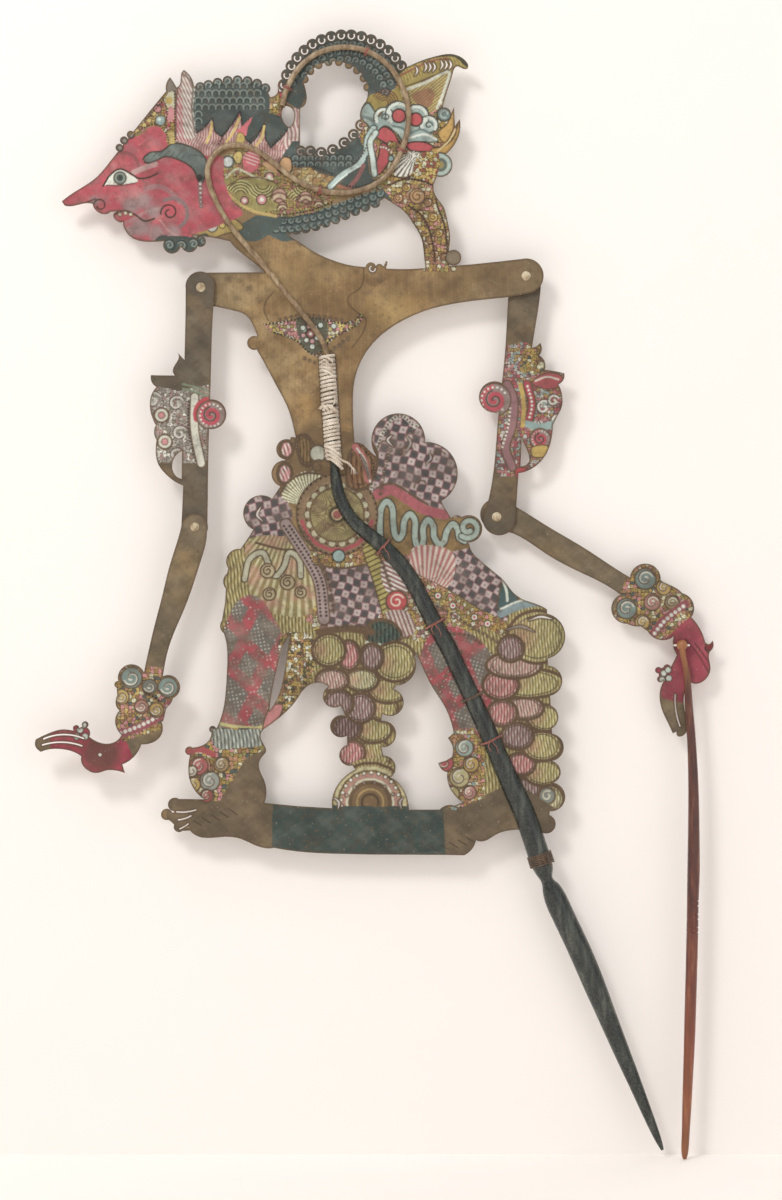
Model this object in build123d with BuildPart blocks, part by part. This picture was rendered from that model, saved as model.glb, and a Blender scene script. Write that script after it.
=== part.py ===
from build123d import *
import math
import os

os.makedirs("parts", exist_ok=True)

# Flat hide shadow puppet, standing upright. Units mm.
# X: puppet's right hand is at +X, Y: front face looks to -Y, Z: up.
# The origin is the neck groove of the main rod.

# ------------------------------------------------------------------ dimensions
BODY_T = 1.4                      # body hide, centred on Y = 0
ARM_T = 1.2                       # arm hides
UPPER_ARM_GAP = 1.5               # body face to upper arm face
ARM_GAP = 0.3                     # upper arm to forearm
UPPER_ARM_Y = BODY_T / 2 + UPPER_ARM_GAP + ARM_T / 2
FOREARM_Y = UPPER_ARM_Y + ARM_T + ARM_GAP

PIN_R = 1.5                       # bone pin shaft
PIN_HEAD_R = 2.8
PIN_DOME = 1.7                    # height of a bone head
LOW_DOME = 1.05                   # height of the head that sits between two hides
PIN_HOLE_R = PIN_R + 0.05
CAP_R = 2.6
CAP_T = 0.9
CAP_FIT = 0.01                    # cap bore over shaft radius
CAP_CHAMFER = 0.3
FACE_CLEAR = 0.05                 # bone head or cap to hide face

LEFT_SHOULDER = (-209.3, 358.2)
LEFT_ELBOW = (-213.0, 213.6)
RIGHT_SHOULDER = (-12.7, 365.4)
RIGHT_ELBOW = (-30.4, 219.8)
LEFT_PALM_HOLE = (-270.0, 76.0)
PALM_HOLE_R = 1.0

SLOT_HALF = BODY_T / 2 + 0.05     # half of the slot the main rod grips the hide with
SLOT_BOTTOM = (-60.0, 4.0)        # the slot's lower edge, a slanted line
SLOT_SHOULDER = (40.0, 46.0)
SLOT_TOP = 320.0                  # past the rod's upper end
SLOT_LEFT = -170.0                # past the rod's left side
LEG_FOOT = 34.0                   # height from which the two legs are pieces of their own

RIB_R = 1.7                       # thin strand that carries the head
RIB_Y = SLOT_HALF + RIB_R

STRING_R = 1.15                   # waist binding string
STRING_TURNS = 25
STRING_A = 3.8                    # half width of one turn, to the string's centre
STRING_B = 2 * RIB_R + SLOT_HALF + STRING_R + 0.25
STRING_TOP = (-133.2, 317.0)
STRING_FOOT = (-129.1, 254.8)

WINDING_R = 0.55                  # cord wound round the grip above its neck
WINDING_TURNS = 6
WINDING_TOP = 15.4
WINDING_PITCH = 1.2
WINDING_SLOPE = 0.34              # sideways run of the rod for each mm it goes down
WINDING_FOOT = (-3.2, 10.0)       # a spot on the rod's line inside the winding
WINDING_A = 7.3
WINDING_B = 6.6

THREAD_R = 0.5                    # thin tie threads
THREAD_HOLE_R = THREAD_R + 0.12

ROD_HEAD = (81.5, 142.0)          # where the hand rod is tied on
ROD_HEAD_R = 3.3
TIE_R = 0.6
TIE_GAP = 0.35                    # free space between the tie, the hide and the rod head
TIE_SHAFT_R = 0.85
TIE_HOLE_R = TIE_SHAFT_R + 0.06
TIE_BORE_R = TIE_R + 0.08         # cross hole in the rod head
TIE_BRIDGE_Y = FOREARM_Y - ARM_T / 2 - TIE_GAP - TIE_R
HAND_ROD_Y = TIE_BRIDGE_Y - TIE_R - TIE_GAP - ROD_HEAD_R
KNOT_R = 1.9                      # knot behind the palm
KNOT_T = 1.8
KNOT_GAP = 0.3
KNOT_ROUND = 0.6

CARVED_RINGS = (-12.5, -15.5, -20.5, -23.5, -28.5, -31.5)
CARVED_X = 88.0                   # hand rod's line beside the carved rings
CARVED_LEAN = 0.012
CARVED_RING_R = 3.75
CARVED_GROOVE_R = 0.45


# --------------------------------------------------------------------- helpers
def outline(*runs, mode=Mode.ADD):
    """Closed face. Every run is a smooth curve, corners fall between the runs."""
    with BuildLine() as edge:
        for i, run in enumerate(runs):
            points = [*run, runs[(i + 1) % len(runs)][0]]
            if len(points) == 2:
                Line(*points)
            else:
                Spline(*points)
    make_face(edge.edges(), mode=mode)


def discs(spots, mode=Mode.ADD):
    """Round lobes, each (x, z, radius)."""
    for x, z, radius in spots:
        with Locations((x, z)):
            Circle(radius, mode=mode)


def curl_cuts(spots, start=200, sweep=235, share=0.5, width=0.24):
    """Pierced hook that turns each round lobe into a lock of hair."""
    for x, z, radius in spots:
        with BuildLine() as hook:
            CenterArc((x, z), radius * share, start, sweep)
        SlotArc(hook.edges()[0], radius * width, mode=Mode.SUBTRACT)


def on_arc(centre, radius, first, last, count, size):
    """Lobes of one size spaced evenly on an arc."""
    spots = []
    for i in range(count):
        a = math.radians(first + (last - first) * i / (count - 1))
        spots.append((centre[0] + radius * math.cos(a), centre[1] + radius * math.sin(a), size))
    return spots


def along(points, size):
    return [(x, z, size) for x, z in points]


def slit(start, middle, end, width):
    """Narrow pierced line through the hide."""
    with BuildLine() as edge:
        ThreePointArc(start, middle, end)
    SlotArc(edge.edges()[0], width, mode=Mode.SUBTRACT)


def across(point, tangent, reach):
    """Two spots beside a point, square to a direction in the hide."""
    length = math.hypot(*tangent)
    nx = -tangent[1] / length * reach
    nz = tangent[0] / length * reach
    return [(point[0] + nx, point[1] + nz), (point[0] - nx, point[1] - nz)]


def direction_at(stations, i):
    """Direction of a line of stations at one of them."""
    a = stations[max(i - 1, 0)]
    b = stations[min(i + 1, len(stations) - 1)]
    return (b[0] - a[0], b[1] - a[1])


def thread_ring(point, tangent, half_width, half_depth, radius):
    """One turn of thread round a strand or rod lying along the tangent."""
    square = Plane(
        origin=(point[0], 0, point[1]),
        x_dir=(0, -1, 0),
        z_dir=(tangent[0], 0, tangent[1]),
    )
    straight = half_depth - half_width
    with BuildLine(square) as turn:
        if straight > 0:
            Line((-straight, half_width), (straight, half_width))
            ThreePointArc((straight, half_width), (half_depth, 0), (straight, -half_width))
            Line((straight, -half_width), (-straight, -half_width))
            ThreePointArc((-straight, -half_width), (-half_depth, 0), (-straight, half_width))
        else:
            EllipticalCenterArc((0, 0), half_depth, half_width, arc_size=360)
    with BuildSketch(Plane(origin=turn.line @ 0, z_dir=turn.line % 0)) as section:
        Circle(radius)
    sweep(sections=section.sketch, path=turn.wires()[0])


# ------------------------------------------------- lines the rods and ties follow
# main rod stations: x, z, half width, half depth
MAIN_ROD = [
    (-130.8, 281.0, 1.5, 2.6),
    (-130.2, 272.0, 2.2, 3.3),
    (-129.5, 262.0, 2.1, 3.6),
    (-128.9, 252.0, 2.2, 3.7),
    (-128.0, 245.0, 3.2, 4.0),
    (-126.6, 236.0, 3.8, 4.3),
    (-123.0, 226.0, 4.0, 4.4),
    (-116.5, 216.5, 4.2, 4.5),
    (-108.0, 209.0, 4.5, 4.7),
    (-99.0, 201.5, 4.8, 4.8),
    (-90.0, 192.5, 5.0, 4.9),
    (-82.0, 181.5, 5.1, 5.0),
    (-75.0, 168.5, 5.1, 5.1),
    (-68.0, 155.0, 5.2, 5.2),
    (-60.5, 142.0, 5.3, 5.2),
    (-52.5, 125.5, 5.3, 5.3),
    (-45.4, 110.5, 5.4, 5.3),
    (-39.0, 96.5, 5.5, 5.4),
    (-33.6, 84.6, 5.7, 5.5),
    (-22.4, 59.5, 6.3, 5.6),
    (-13.2, 39.0, 6.6, 5.7),
    (-6.6, 20.0, 6.6, 5.9),
    (-3.2, 10.0, 6.4, 5.8),
    (-1.4, 4.4, 5.2, 4.9),
    (0.0, 0.0, 3.7, 3.7),
    (1.8, -3.6, 5.0, 4.8),
    (4.6, -10.0, 6.6, 5.8),
    (10.0, -22.0, 6.9, 6.0),
    (19.0, -41.0, 6.9, 6.0),
    (27.6, -61.0, 6.7, 5.9),
    (35.4, -80.0, 5.9, 5.3),
    (43.6, -100.0, 5.1, 4.7),
    (52.0, -120.0, 4.2, 3.9),
    (60.2, -140.0, 3.2, 3.0),
    (66.4, -155.0, 2.2, 2.1),
    (69.8, -163.2, 0.9, 0.9),
]

# thin strand from the binding up round the neck and the hair
RIB_LINE = [
    (-130.9, 284.0),
    (-132.4, 305.0),
    (-134.4, 322.0),
    (-139.5, 331.5),
    (-152.0, 347.5),
    (-172.5, 373.0),
    (-192.0, 396.5),
    (-202.5, 416.0),
    (-205.0, 431.0),
    (-197.5, 442.0),
    (-184.0, 444.0),
    (-156.0, 426.0),
    (-137.5, 417.0),
    (-119.0, 415.8),
    (-100.0, 423.5),
    (-88.0, 441.0),
    (-83.8, 464.0),
    (-91.0, 486.0),
    (-109.0, 501.0),
    (-128.0, 503.0),
    (-146.0, 495.0),
    (-157.0, 479.0),
    (-160.2, 468.0),
]

# where the ties sit, by station
RIB_TIES = {"rib_tie_neck": 12, "rib_tie_crown": 15, "rib_tie_top": 18, "rib_tie_end": 21}
ROD_TIES = {"rod_tie_high": 9, "rod_tie_middle": 13, "rod_tie_wire": 16, "rod_tie_low": 18}
RIB_TIE_A = RIB_R + THREAD_R + 0.1
RIB_TIE_B = SLOT_HALF + 2 * RIB_R + THREAD_R + 0.1
ROD_TIE_MARGIN = THREAD_R + 0.3

STRING_DX = (STRING_TOP[0] - STRING_FOOT[0]) / (STRING_TURNS - 1)
STRING_DZ = (STRING_TOP[1] - STRING_FOOT[1]) / (STRING_TURNS - 1)
STRING_SPOTS = [
    (STRING_FOOT[0] + STRING_DX * i, STRING_FOOT[1] + STRING_DZ * i) for i in range(STRING_TURNS)
]

# ------------------------------------------------------------------- body hide
RING_CENTRE = (-121.5, 472.3)
RING_R = 38.6
HAIR_CURLS = on_arc(RING_CENTRE, RING_R, 167, 31, 16, 3.7)
INNER_CURLS = along(
    [(-149.2, 440.8), (-143.2, 440.8), (-136.6, 439.9), (-129.6, 441.6),
     (-122.7, 445.9), (-117.0, 450.8), (-112.6, 456.6)], 3.5)
BUN_CURLS = along(
    [(-209.8, 479.6), (-204.8, 480.9), (-199.2, 482.2), (-193.2, 483.4),
     (-187.2, 483.7), (-181.2, 483.2), (-175.4, 481.7), (-170.4, 478.9)], 3.0)
NAPE_CURLS = along(
    [(-104.0, 409.6), (-110.0, 407.2), (-116.0, 404.8), (-122.0, 402.3),
     (-128.0, 399.8), (-134.0, 397.6), (-140.0, 395.6), (-146.0, 394.2), (-151.6, 393.4)], 3.0)
BEARD_CURLS = [(-227.0, 384.2, 5.2), (-216.4, 385.0, 5.2), (-221.8, 386.0, 3.4),
               (-209.8, 386.4, 3.4)]

with BuildPart() as body_hide:
    with BuildSketch(Plane.XZ) as hide:
        # torso and shoulders
        outline(
            [(-158, 391), (-150, 386), (-140, 379.5), (-130, 375), (-120, 372), (-111, 370.8),
             (-97, 369.8), (-85, 369.5), (-70, 370.5), (-50, 372), (-30, 374)],
            [(-14, 375.8)],
            [(-12, 354.8), (-20, 353.2), (-40, 351), (-60, 348), (-72, 345), (-80, 342),
             (-90, 337), (-100, 330), (-108, 321.5), (-113, 313), (-116.5, 302), (-117.5, 288),
             (-117, 272)],
            [(-116, 258)],
            [(-150, 258), (-152.5, 270), (-157, 286), (-164, 299.5), (-170, 311)],
            [(-175.5, 320.5)],
            [(-175.5, 330), (-178, 336), (-182, 341.5), (-190, 344.7), (-201, 347)],
            [(-209.5, 348.5)],
            [(-209.5, 367.4)],
            [(-171, 367.6), (-180, 375.5), (-188, 382)],
            [(-192, 386.5)],
            [(-190, 405)],
            [(-165, 405)],
        )
        discs([(RIGHT_SHOULDER[0], RIGHT_SHOULDER[1], 10.6)])
        discs([(LEFT_SHOULDER[0], LEFT_SHOULDER[1], 8.6), (-177.2, 324.9, 4.2)])

        # head: long pointed nose, small mouth, crown front with two horns, hair bun
        outline(
            [(-293.5, 410.5), (-284, 417.3), (-273, 424.6), (-264, 435), (-258.5, 442)],
            [(-250, 453), (-240, 465.5)],
            [(-230.5, 477), (-229.7, 483.2)],
            [(-228, 485.6), (-225.6, 482)],
            [(-224, 479.3), (-221.9, 482), (-221.4, 487.2)],
            [(-219.6, 490), (-216, 486.6)],
            [(-213.5, 480), (-205, 481), (-193, 483.5), (-181, 483), (-171, 479)],
            [(-167.5, 473.5), (-164.5, 474.5)],
            [(-163.6, 482.4)],
            [(-161.8, 477)],
            [(-150, 478)],
            [(-149.6, 440)],
            [(-150, 393)],
            [(-172, 384)],
            [(-192, 386.5), (-203, 388.8)],
            [(-213, 390)],
            [(-222, 387.5), (-233, 386.5), (-243, 386.2), (-250.5, 388.2), (-255.5, 393.5)],
            [(-256.5, 398.2), (-260.6, 399), (-262.4, 401.6)],
            [(-259.8, 404.6)],
            [(-264, 404.4), (-268.6, 402.9), (-273, 405.2)],
            [(-274.8, 409), (-281, 409.2), (-287.5, 407.7)],
            [(-292, 408.2)],
        )
        discs([(-258.7, 443, 2.3), (-255.9, 447.4, 2.4), (-251.9, 450.9, 2.3)])
        discs(BUN_CURLS)
        discs(BEARD_CURLS)

        # ring of hair above the nape, with the nape band under it
        with BuildLine() as ring_edge:
            start = CenterArc(RING_CENTRE, RING_R, 168, -138)
            Polyline(start @ 1, (-84, 480), (-80, 440), (-98, 412.8))
            Spline((-98, 412.8), (-108, 407.5), (-118, 404), (-127, 399.8), (-137, 395.8),
                   (-147, 392.8), (-158, 391))
            Polyline((-158, 391), (-170, 400), start @ 0)
        make_face()
        outline(
            [(-147, 482), (-144, 488.5), (-137, 493.5), (-128, 495.3), (-119, 493),
             (-112, 487.5), (-108.5, 479)],
            [(-109.5, 471), (-112.6, 466), (-113, 460.5)],
            [(-110.5, 456), (-116, 449), (-122.5, 444.3), (-129.5, 440.3), (-137, 438.6)],
            [(-149.6, 439.5)],
            [(-149.3, 467), (-146, 470), (-145.5, 475.5)],
            mode=Mode.SUBTRACT,
        )
        discs(along(
            [(-146.6, 484.4), (-143.2, 489.4), (-138.2, 493), (-132.2, 494.9), (-126, 494.9),
             (-120, 493.1), (-115, 489.9), (-111, 485.1), (-108.7, 479.5)], 2.4))
        discs(HAIR_CURLS + INNER_CURLS + NAPE_CURLS)
        curl_cuts(HAIR_CURLS, start=150)
        curl_cuts(INNER_CURLS, start=60)
        outline(
            [(-158.8, 468.5), (-154.6, 467)],
            [(-153.2, 460), (-156, 455.6)],
            [(-159, 458), (-160.6, 463)],
            mode=Mode.SUBTRACT,
        )

        # bird ornament behind the hair with its hanging tail
        outline(
            [(-90, 489), (-83, 492.6), (-75, 496), (-66, 498.6), (-58, 499.6), (-52, 497.7)],
            [(-47.8, 493.3), (-48.5, 490.8), (-51, 491), (-53.5, 492.2)],
            [(-56.5, 490), (-59, 481.5), (-62.5, 470)],
            [(-63.3, 466)],
            [(-58.5, 462.5)],
            [(-56.3, 467.6), (-56, 461)],
            [(-55.7, 456)],
            [(-52.8, 460.3), (-53.2, 451), (-57, 443.5)],
            [(-62, 438.5)],
            [(-65, 430)],
            [(-68.5, 421), (-66.8, 413), (-62.5, 407), (-60.3, 399), (-58.7, 391), (-59.3, 381)],
            [(-59, 371)],
            [(-73.5, 370), (-74.6, 380), (-76, 388), (-80.5, 396.5), (-86, 404), (-93, 409.3)],
            [(-101, 414.5)],
            [(-110, 440)],
            [(-110.5, 456), (-113, 461), (-112.4, 466)],
            [(-109, 471)],
        )
        discs([(-62.3, 463.2, 4.2), (-64.4, 432.6, 7.2), (-56.6, 376.5, 4.7)])

        # wrapped cloths, legs, feet and the ground strip
        outline(
            [(-155, 268), (-158, 256)],
            [(-160, 240), (-168, 228)],
            [(-180, 208)],
            [(-186, 199.5), (-193, 188), (-194.3, 176), (-195.2, 165), (-196.6, 153.5),
             (-194.5, 146), (-193.4, 138), (-193.8, 122), (-195.5, 105)],
            [(-199.5, 92.5)],
            [(-203, 89), (-206, 83), (-211, 80.6)],
            [(-218, 80.2), (-218.9, 77.8)],
            [(-216, 75.8), (-217, 68), (-216, 60), (-212.5, 53.5)],
            [(-207, 48.8)],
            [(-222, 49), (-226, 45), (-225.5, 41.5)],
            [(-230, 42)],
            [(-231, 37.5), (-227, 35)],
            [(-223, 29.6)],
            [(-216, 30), (-209, 25.8), (-198, 26), (-187, 25.5), (-176, 20.8)],
            [(-165, 19.5), (-150, 17.2), (-130, 16), (-100, 15.4)],
            [(-50, 15), (-46, 18)],
            [(-43, 24), (-38, 23.6), (-30, 28), (-23, 30)],
            [(-14, 30.5)],
            [(0, 30), (2, 45), (3.3, 73), (2, 109), (0.5, 132)],
            [(0, 150)],
            [(0, 163.7), (-8, 167.5), (-15, 170), (-21, 174.5), (-26, 181), (-32, 186.3),
             (-40, 193), (-45, 198)],
            [(-47, 203)],
            [(-60, 222)],
            [(-68, 236)],
            [(-92, 256)],
            [(-101.5, 256), (-105, 257.5), (-110.5, 262.8)],
            [(-116, 264.7)],
        )
        discs([(-157.6, 260.5, 6.2), (-158.6, 245.8, 8.1), (-172.8, 221.8, 11),
               (-186.5, 192.8, 7.6), (-189.5, 180.5, 6.4), (-192.6, 153.6, 5.2)])
        discs([(-90, 266, 16.3), (-73, 246, 19), (-54.5, 216.3, 4.4), (-47.5, 212.5, 8.3)])
        discs([(-3, 147.5, 14), (0, 120.5, 9.2), (-1, 98.5, 7.8), (1.8, 80.3, 8.3),
               (1.3, 65.3, 6.9), (2.3, 50.3, 8.7), (-0.5, 33.9, 5.7)])
        discs([(-225.2, 45.7, 4.1), (-230.1, 39.7, 3.4), (-222.6, 32.2, 3.2),
               (-216.3, 78.2, 2.6), (-202.3, 91.2, 2.1)])

        # gap between left leg and centre drape
        outline(
            [(-171, 91.5), (-160, 99.8), (-152, 108.3), (-147, 115.5)],
            [(-142.5, 118.7), (-133, 117.6), (-127, 109), (-122, 99), (-121, 84)],
            [(-116, 66.8), (-124, 61), (-129, 53)],
            [(-130, 43.4)],
            [(-150, 44.6)],
            [(-171, 46.6), (-169.8, 53), (-171, 60), (-174, 67), (-173.5, 73), (-170, 78),
             (-172.5, 84)],
            mode=Mode.SUBTRACT,
        )
        # gap between centre drape and right leg
        outline(
            [(-83.5, 42.5), (-85, 51), (-89, 58)],
            [(-95, 62), (-99, 75), (-101, 90), (-98, 105), (-90, 120)],
            [(-79, 137), (-75.5, 129), (-69, 116), (-63, 107), (-58.5, 97)],
            [(-56.5, 89)],
            [(-60, 85.8), (-57, 80)],
            [(-57.5, 74.5)],
            [(-61, 72.3)],
            [(-65.8, 70.8), (-64, 67.2)],
            [(-60.3, 65.2), (-60, 59), (-56.5, 52)],
            [(-51, 47)],
            [(-56, 45), (-60, 45.3)],
            [(-65, 42.6)],
            mode=Mode.SUBTRACT,
        )
        discs([(-128.7, 111.2, 6.9), (-124.5, 93, 6.7), (-119.3, 75.5, 6.4)])
        discs([(-91.5, 130, 12.3), (-95, 107.5, 8.3), (-99.3, 88.3, 8), (-98.8, 68, 7.2)])
        # narrow gap beside the hanging cloth tip
        outline(
            [(-155.5, 148), (-157, 138), (-158.6, 128), (-160.4, 118), (-163.2, 110)],
            [(-168, 102.5), (-167, 111), (-164.8, 122), (-162, 134), (-158.5, 144)],
            mode=Mode.SUBTRACT,
        )
        slit((-224, 41.2), (-218, 41.2), (-212.5, 42.4), 0.9)
        slit((-223, 36.4), (-219, 37.2), (-215.5, 38.8), 0.9)
        slit((-222.2, 30.9), (-219.5, 32.3), (-217, 34), 0.7)

        # small pierced lock on the shoulder line
        discs([(-106.6, 370.4, 3.2), (-101.4, 370.4, 2.3), (-98.4, 370.4, 1.2),
               (-97.6, 372.2, 0.9), (-97.2, 373.6, 0.7)])
        curl_cuts([(-105.6, 369.8, 3.4)], start=120, sweep=240)

        # holes for the shoulder pins, the waist string and the tie threads
        discs([(LEFT_SHOULDER[0], LEFT_SHOULDER[1], PIN_HOLE_R),
               (RIGHT_SHOULDER[0], RIGHT_SHOULDER[1], PIN_HOLE_R)], mode=Mode.SUBTRACT)
        for x, z in STRING_SPOTS:
            for side in (-1, 1):
                with Locations((x + side * (STRING_A - 0.02), z)):
                    Circle(STRING_R + 0.08, mode=Mode.SUBTRACT)
        for i in RIB_TIES.values():
            for x, z in across(RIB_LINE[i], direction_at(RIB_LINE, i), RIB_TIE_A):
                with Locations((x, z)):
                    Circle(THREAD_HOLE_R, mode=Mode.SUBTRACT)
        for i in ROD_TIES.values():
            reach = MAIN_ROD[i][2] + ROD_TIE_MARGIN
            for x, z in across(MAIN_ROD[i], direction_at(MAIN_ROD, i), reach):
                with Locations((x, z)):
                    Circle(THREAD_HOLE_R, mode=Mode.SUBTRACT)
    extrude(amount=BODY_T / 2, both=True)
body_hide.part.label = "body_hide"
export_step(body_hide.part, "parts/body_hide.step")

# ------------------------------------------------------------------------ arms
with BuildPart() as left_upper_arm:
    with BuildSketch(Plane.XZ.offset(UPPER_ARM_Y)) as hide:
        outline(
            [(-218.4, 358), (-218.6, 335), (-219.4, 300), (-219.2, 260), (-220, 235)],
            [(-221, 213.6)],
            [(-205.3, 213.6), (-205, 240), (-204.4, 270), (-203.4, 300), (-202.4, 335)],
            [(-200.8, 358)],
        )
        discs([(-209.6, 358.9, 8.9), (LEFT_ELBOW[0], LEFT_ELBOW[1], 8)])
        # armband: dragon head to the outside, curl to the inside
        outline(
            [(-216, 311)],
            [(-224.6, 320.2), (-223.2, 314), (-226, 309)],
            [(-225, 305), (-231, 305)],
            [(-239.4, 305.2), (-239, 301.2)],
            [(-236, 298), (-239.2, 293), (-240, 286), (-238.4, 279)],
            [(-236.5, 275), (-237.5, 270.5)],
            [(-236, 266), (-236.5, 259), (-235, 251.5), (-231, 246), (-225, 241)],
            [(-217, 237.6)],
        )
        outline(
            [(-220.6, 259.5), (-224.8, 256), (-226.6, 250), (-224.5, 244.5)],
            [(-220.8, 242.6)],
            mode=Mode.SUBTRACT,
        )
        discs([(-202.9, 281.6, 9)])
        discs([(LEFT_SHOULDER[0], LEFT_SHOULDER[1], PIN_HOLE_R),
               (LEFT_ELBOW[0], LEFT_ELBOW[1], PIN_HOLE_R)], mode=Mode.SUBTRACT)
    extrude(amount=ARM_T / 2, both=True)
left_upper_arm.part.label = "left_upper_arm"
export_step(left_upper_arm.part, "parts/left_upper_arm.step")

with BuildPart() as left_forearm:
    with BuildSketch(Plane.XZ.offset(FOREARM_Y)) as hide:
        outline(
            [(-220.6, 215), (-222.4, 208), (-228, 190), (-232.4, 172), (-236.6, 156),
             (-240.4, 140), (-243.4, 126)],
            [(-246, 112), (-256, 95), (-256, 84)],
            [(-245, 84), (-238, 100), (-232.4, 122), (-229.8, 136), (-226, 148), (-220, 162),
             (-215, 175), (-209.5, 192), (-205.8, 206)],
            [(-205.6, 214)],
        )
        discs([(LEFT_ELBOW[0], LEFT_ELBOW[1] + 0.2, 7.7)])
        # bracelet
        discs([(-251, 122.4, 8.2), (-229, 116.8, 7.3), (-259.2, 118.4, 2.1)])
        outline(
            [(-258, 122)],
            [(-260, 119)],
            [(-259.6, 112), (-260.4, 106)],
            [(-252, 100)],
            [(-232, 96)],
            [(-230, 104), (-226, 110)],
            [(-236, 122)],
        )
        with Locations((-246.5, 94.2)):
            Ellipse(14.8, 11.4, rotation=-22)
        # hand with the fingers drawn out to the front
        outline(
            [(-257, 88), (-261, 83.8), (-266, 82.6), (-272, 84), (-276, 86.4)],
            [(-280, 91), (-286, 90.6), (-291.5, 91.3), (-300, 89.4)],
            [(-308.6, 85.4), (-309.2, 82)],
            [(-305.6, 77.8), (-300, 79.4), (-292, 79.3), (-285.5, 77.6)],
            [(-281.3, 75), (-280.6, 70), (-277, 66.4), (-272, 65), (-266, 66.6), (-260.5, 66.5)],
            [(-255, 65)],
            [(-256.6, 70.2), (-251, 73.4), (-246.5, 79)],
            [(-244, 88)],
        )
        discs([(-280, 89, 4), (-284.4, 92, 1.9), (-279, 94.2, 2.0)])
        slit((-304, 85.6), (-292.5, 88.2), (-280, 85.9), 0.9)
        slit((-304.8, 81.9), (-293, 83.6), (-281, 81.4), 0.9)
        discs([(LEFT_ELBOW[0], LEFT_ELBOW[1], PIN_HOLE_R),
               (LEFT_PALM_HOLE[0], LEFT_PALM_HOLE[1], PALM_HOLE_R)], mode=Mode.SUBTRACT)
    extrude(amount=ARM_T / 2, both=True)
left_forearm.part.label = "left_forearm"
export_step(left_forearm.part, "parts/left_forearm.step")

with BuildPart() as right_upper_arm:
    with BuildSketch(Plane.XZ.offset(-UPPER_ARM_Y)) as hide:
        outline(
            [(-22, 365), (-23.4, 352), (-24.6, 330), (-26.4, 308), (-29, 285), (-31, 260),
             (-33, 242)],
            [(-37, 224)],
            [(-19, 216), (-17.6, 240), (-16.2, 258), (-14, 285), (-11, 308), (-7.8, 330),
             (-4.6, 350)],
            [(-3.4, 365)],
        )
        discs([(RIGHT_SHOULDER[0], RIGHT_SHOULDER[1], 9.3), (-28.9, 218.6, 10)])
        # armband: dragon head to the outside, curl to the inside
        outline(
            [(-16, 312)],
            [(-11, 322), (-7.5, 322.6)],
            [(-4, 325.2), (-3, 321.5)],
            [(-4.6, 317.6), (-1.6, 314.6)],
            [(-1.2, 309), (5, 308)],
            [(10.6, 306.8), (10, 302.6)],
            [(7, 300), (9.2, 294), (9.2, 287), (6.6, 281)],
            [(3.8, 275.5), (3, 268), (0, 258.5), (-5, 252), (-11, 248)],
            [(-18, 246.2)],
            [(-18, 280)],
        )
        outline(
            [(-15.2, 267.5), (-12.8, 262), (-11, 257.4)],
            [(-10.6, 253.4), (-13.5, 250.8)],
            [(-16, 250.4)],
            mode=Mode.SUBTRACT,
        )
        discs([(-31.6, 292.4, 9.5)])
        discs([(RIGHT_SHOULDER[0], RIGHT_SHOULDER[1], PIN_HOLE_R),
               (RIGHT_ELBOW[0], RIGHT_ELBOW[1], PIN_HOLE_R)], mode=Mode.SUBTRACT)
    extrude(amount=ARM_T / 2, both=True)
right_upper_arm.part.label = "right_upper_arm"
export_step(right_upper_arm.part, "parts/right_upper_arm.step")

with BuildPart() as right_forearm:
    with BuildSketch(Plane.XZ.offset(-FOREARM_Y)) as hide:
        outline(
            [(-27, 230), (-18.5, 225.8), (0, 214.4), (22, 201.4), (44, 187)],
            [(56, 180)],
            [(76, 168)],
            [(66, 156)],
            [(46, 171.6), (34, 179.6), (20, 186.4), (0, 197.2), (-21, 210)],
            [(-30, 212)],
        )
        discs([(-31, 221.4, 9.3)])
        # bracelet
        discs([(59.8, 182.2, 9.3), (48.4, 164.2, 9.2), (80, 164.4, 9.4), (70.4, 155.2, 10.2)])
        outline(
            [(66, 184)],
            [(70.5, 180.4), (75, 178.4), (80, 175.6)],
            [(84, 170)],
            [(62, 150)],
            [(57, 153.4), (50, 154.4)],
            [(44, 160)],
            [(60, 176)],
        )
        # hand hanging down
        outline(
            [(84, 162), (90, 156.4), (94.4, 149)],
            [(96, 144), (98, 142.6)],
            [(100.6, 144.8), (101.2, 142)],
            [(98.8, 138), (98.4, 134), (99.3, 128), (96.6, 121.6), (91, 118.6)],
            [(86.2, 120.4)],
            [(83.8, 114), (83.2, 106), (84.6, 97)],
            [(84.8, 90.6), (82.6, 87.2), (80.2, 86.6)],
            [(78.8, 89.6)],
            [(76.4, 88.6), (73, 96), (69.6, 104), (68.5, 111)],
            [(70, 118.4)],
            [(74.8, 127.8), (77, 132)],
            [(79, 136), (76.8, 141)],
            [(77, 147)],
            [(74, 158)],
        )
        discs([(72.6, 124.4, 4.6), (67.8, 126.8, 2.0), (73, 128.2, 2.2), (69, 121.4, 2.0)])
        slit((78, 112), (78.4, 102), (80.8, 93), 0.8)
        discs([(RIGHT_ELBOW[0], RIGHT_ELBOW[1], PIN_HOLE_R),
               (ROD_HEAD[0], ROD_HEAD[1], TIE_HOLE_R)], mode=Mode.SUBTRACT)
    extrude(amount=ARM_T / 2, both=True)
right_forearm.part.label = "right_forearm"
export_step(right_forearm.part, "parts/right_forearm.step")


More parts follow.
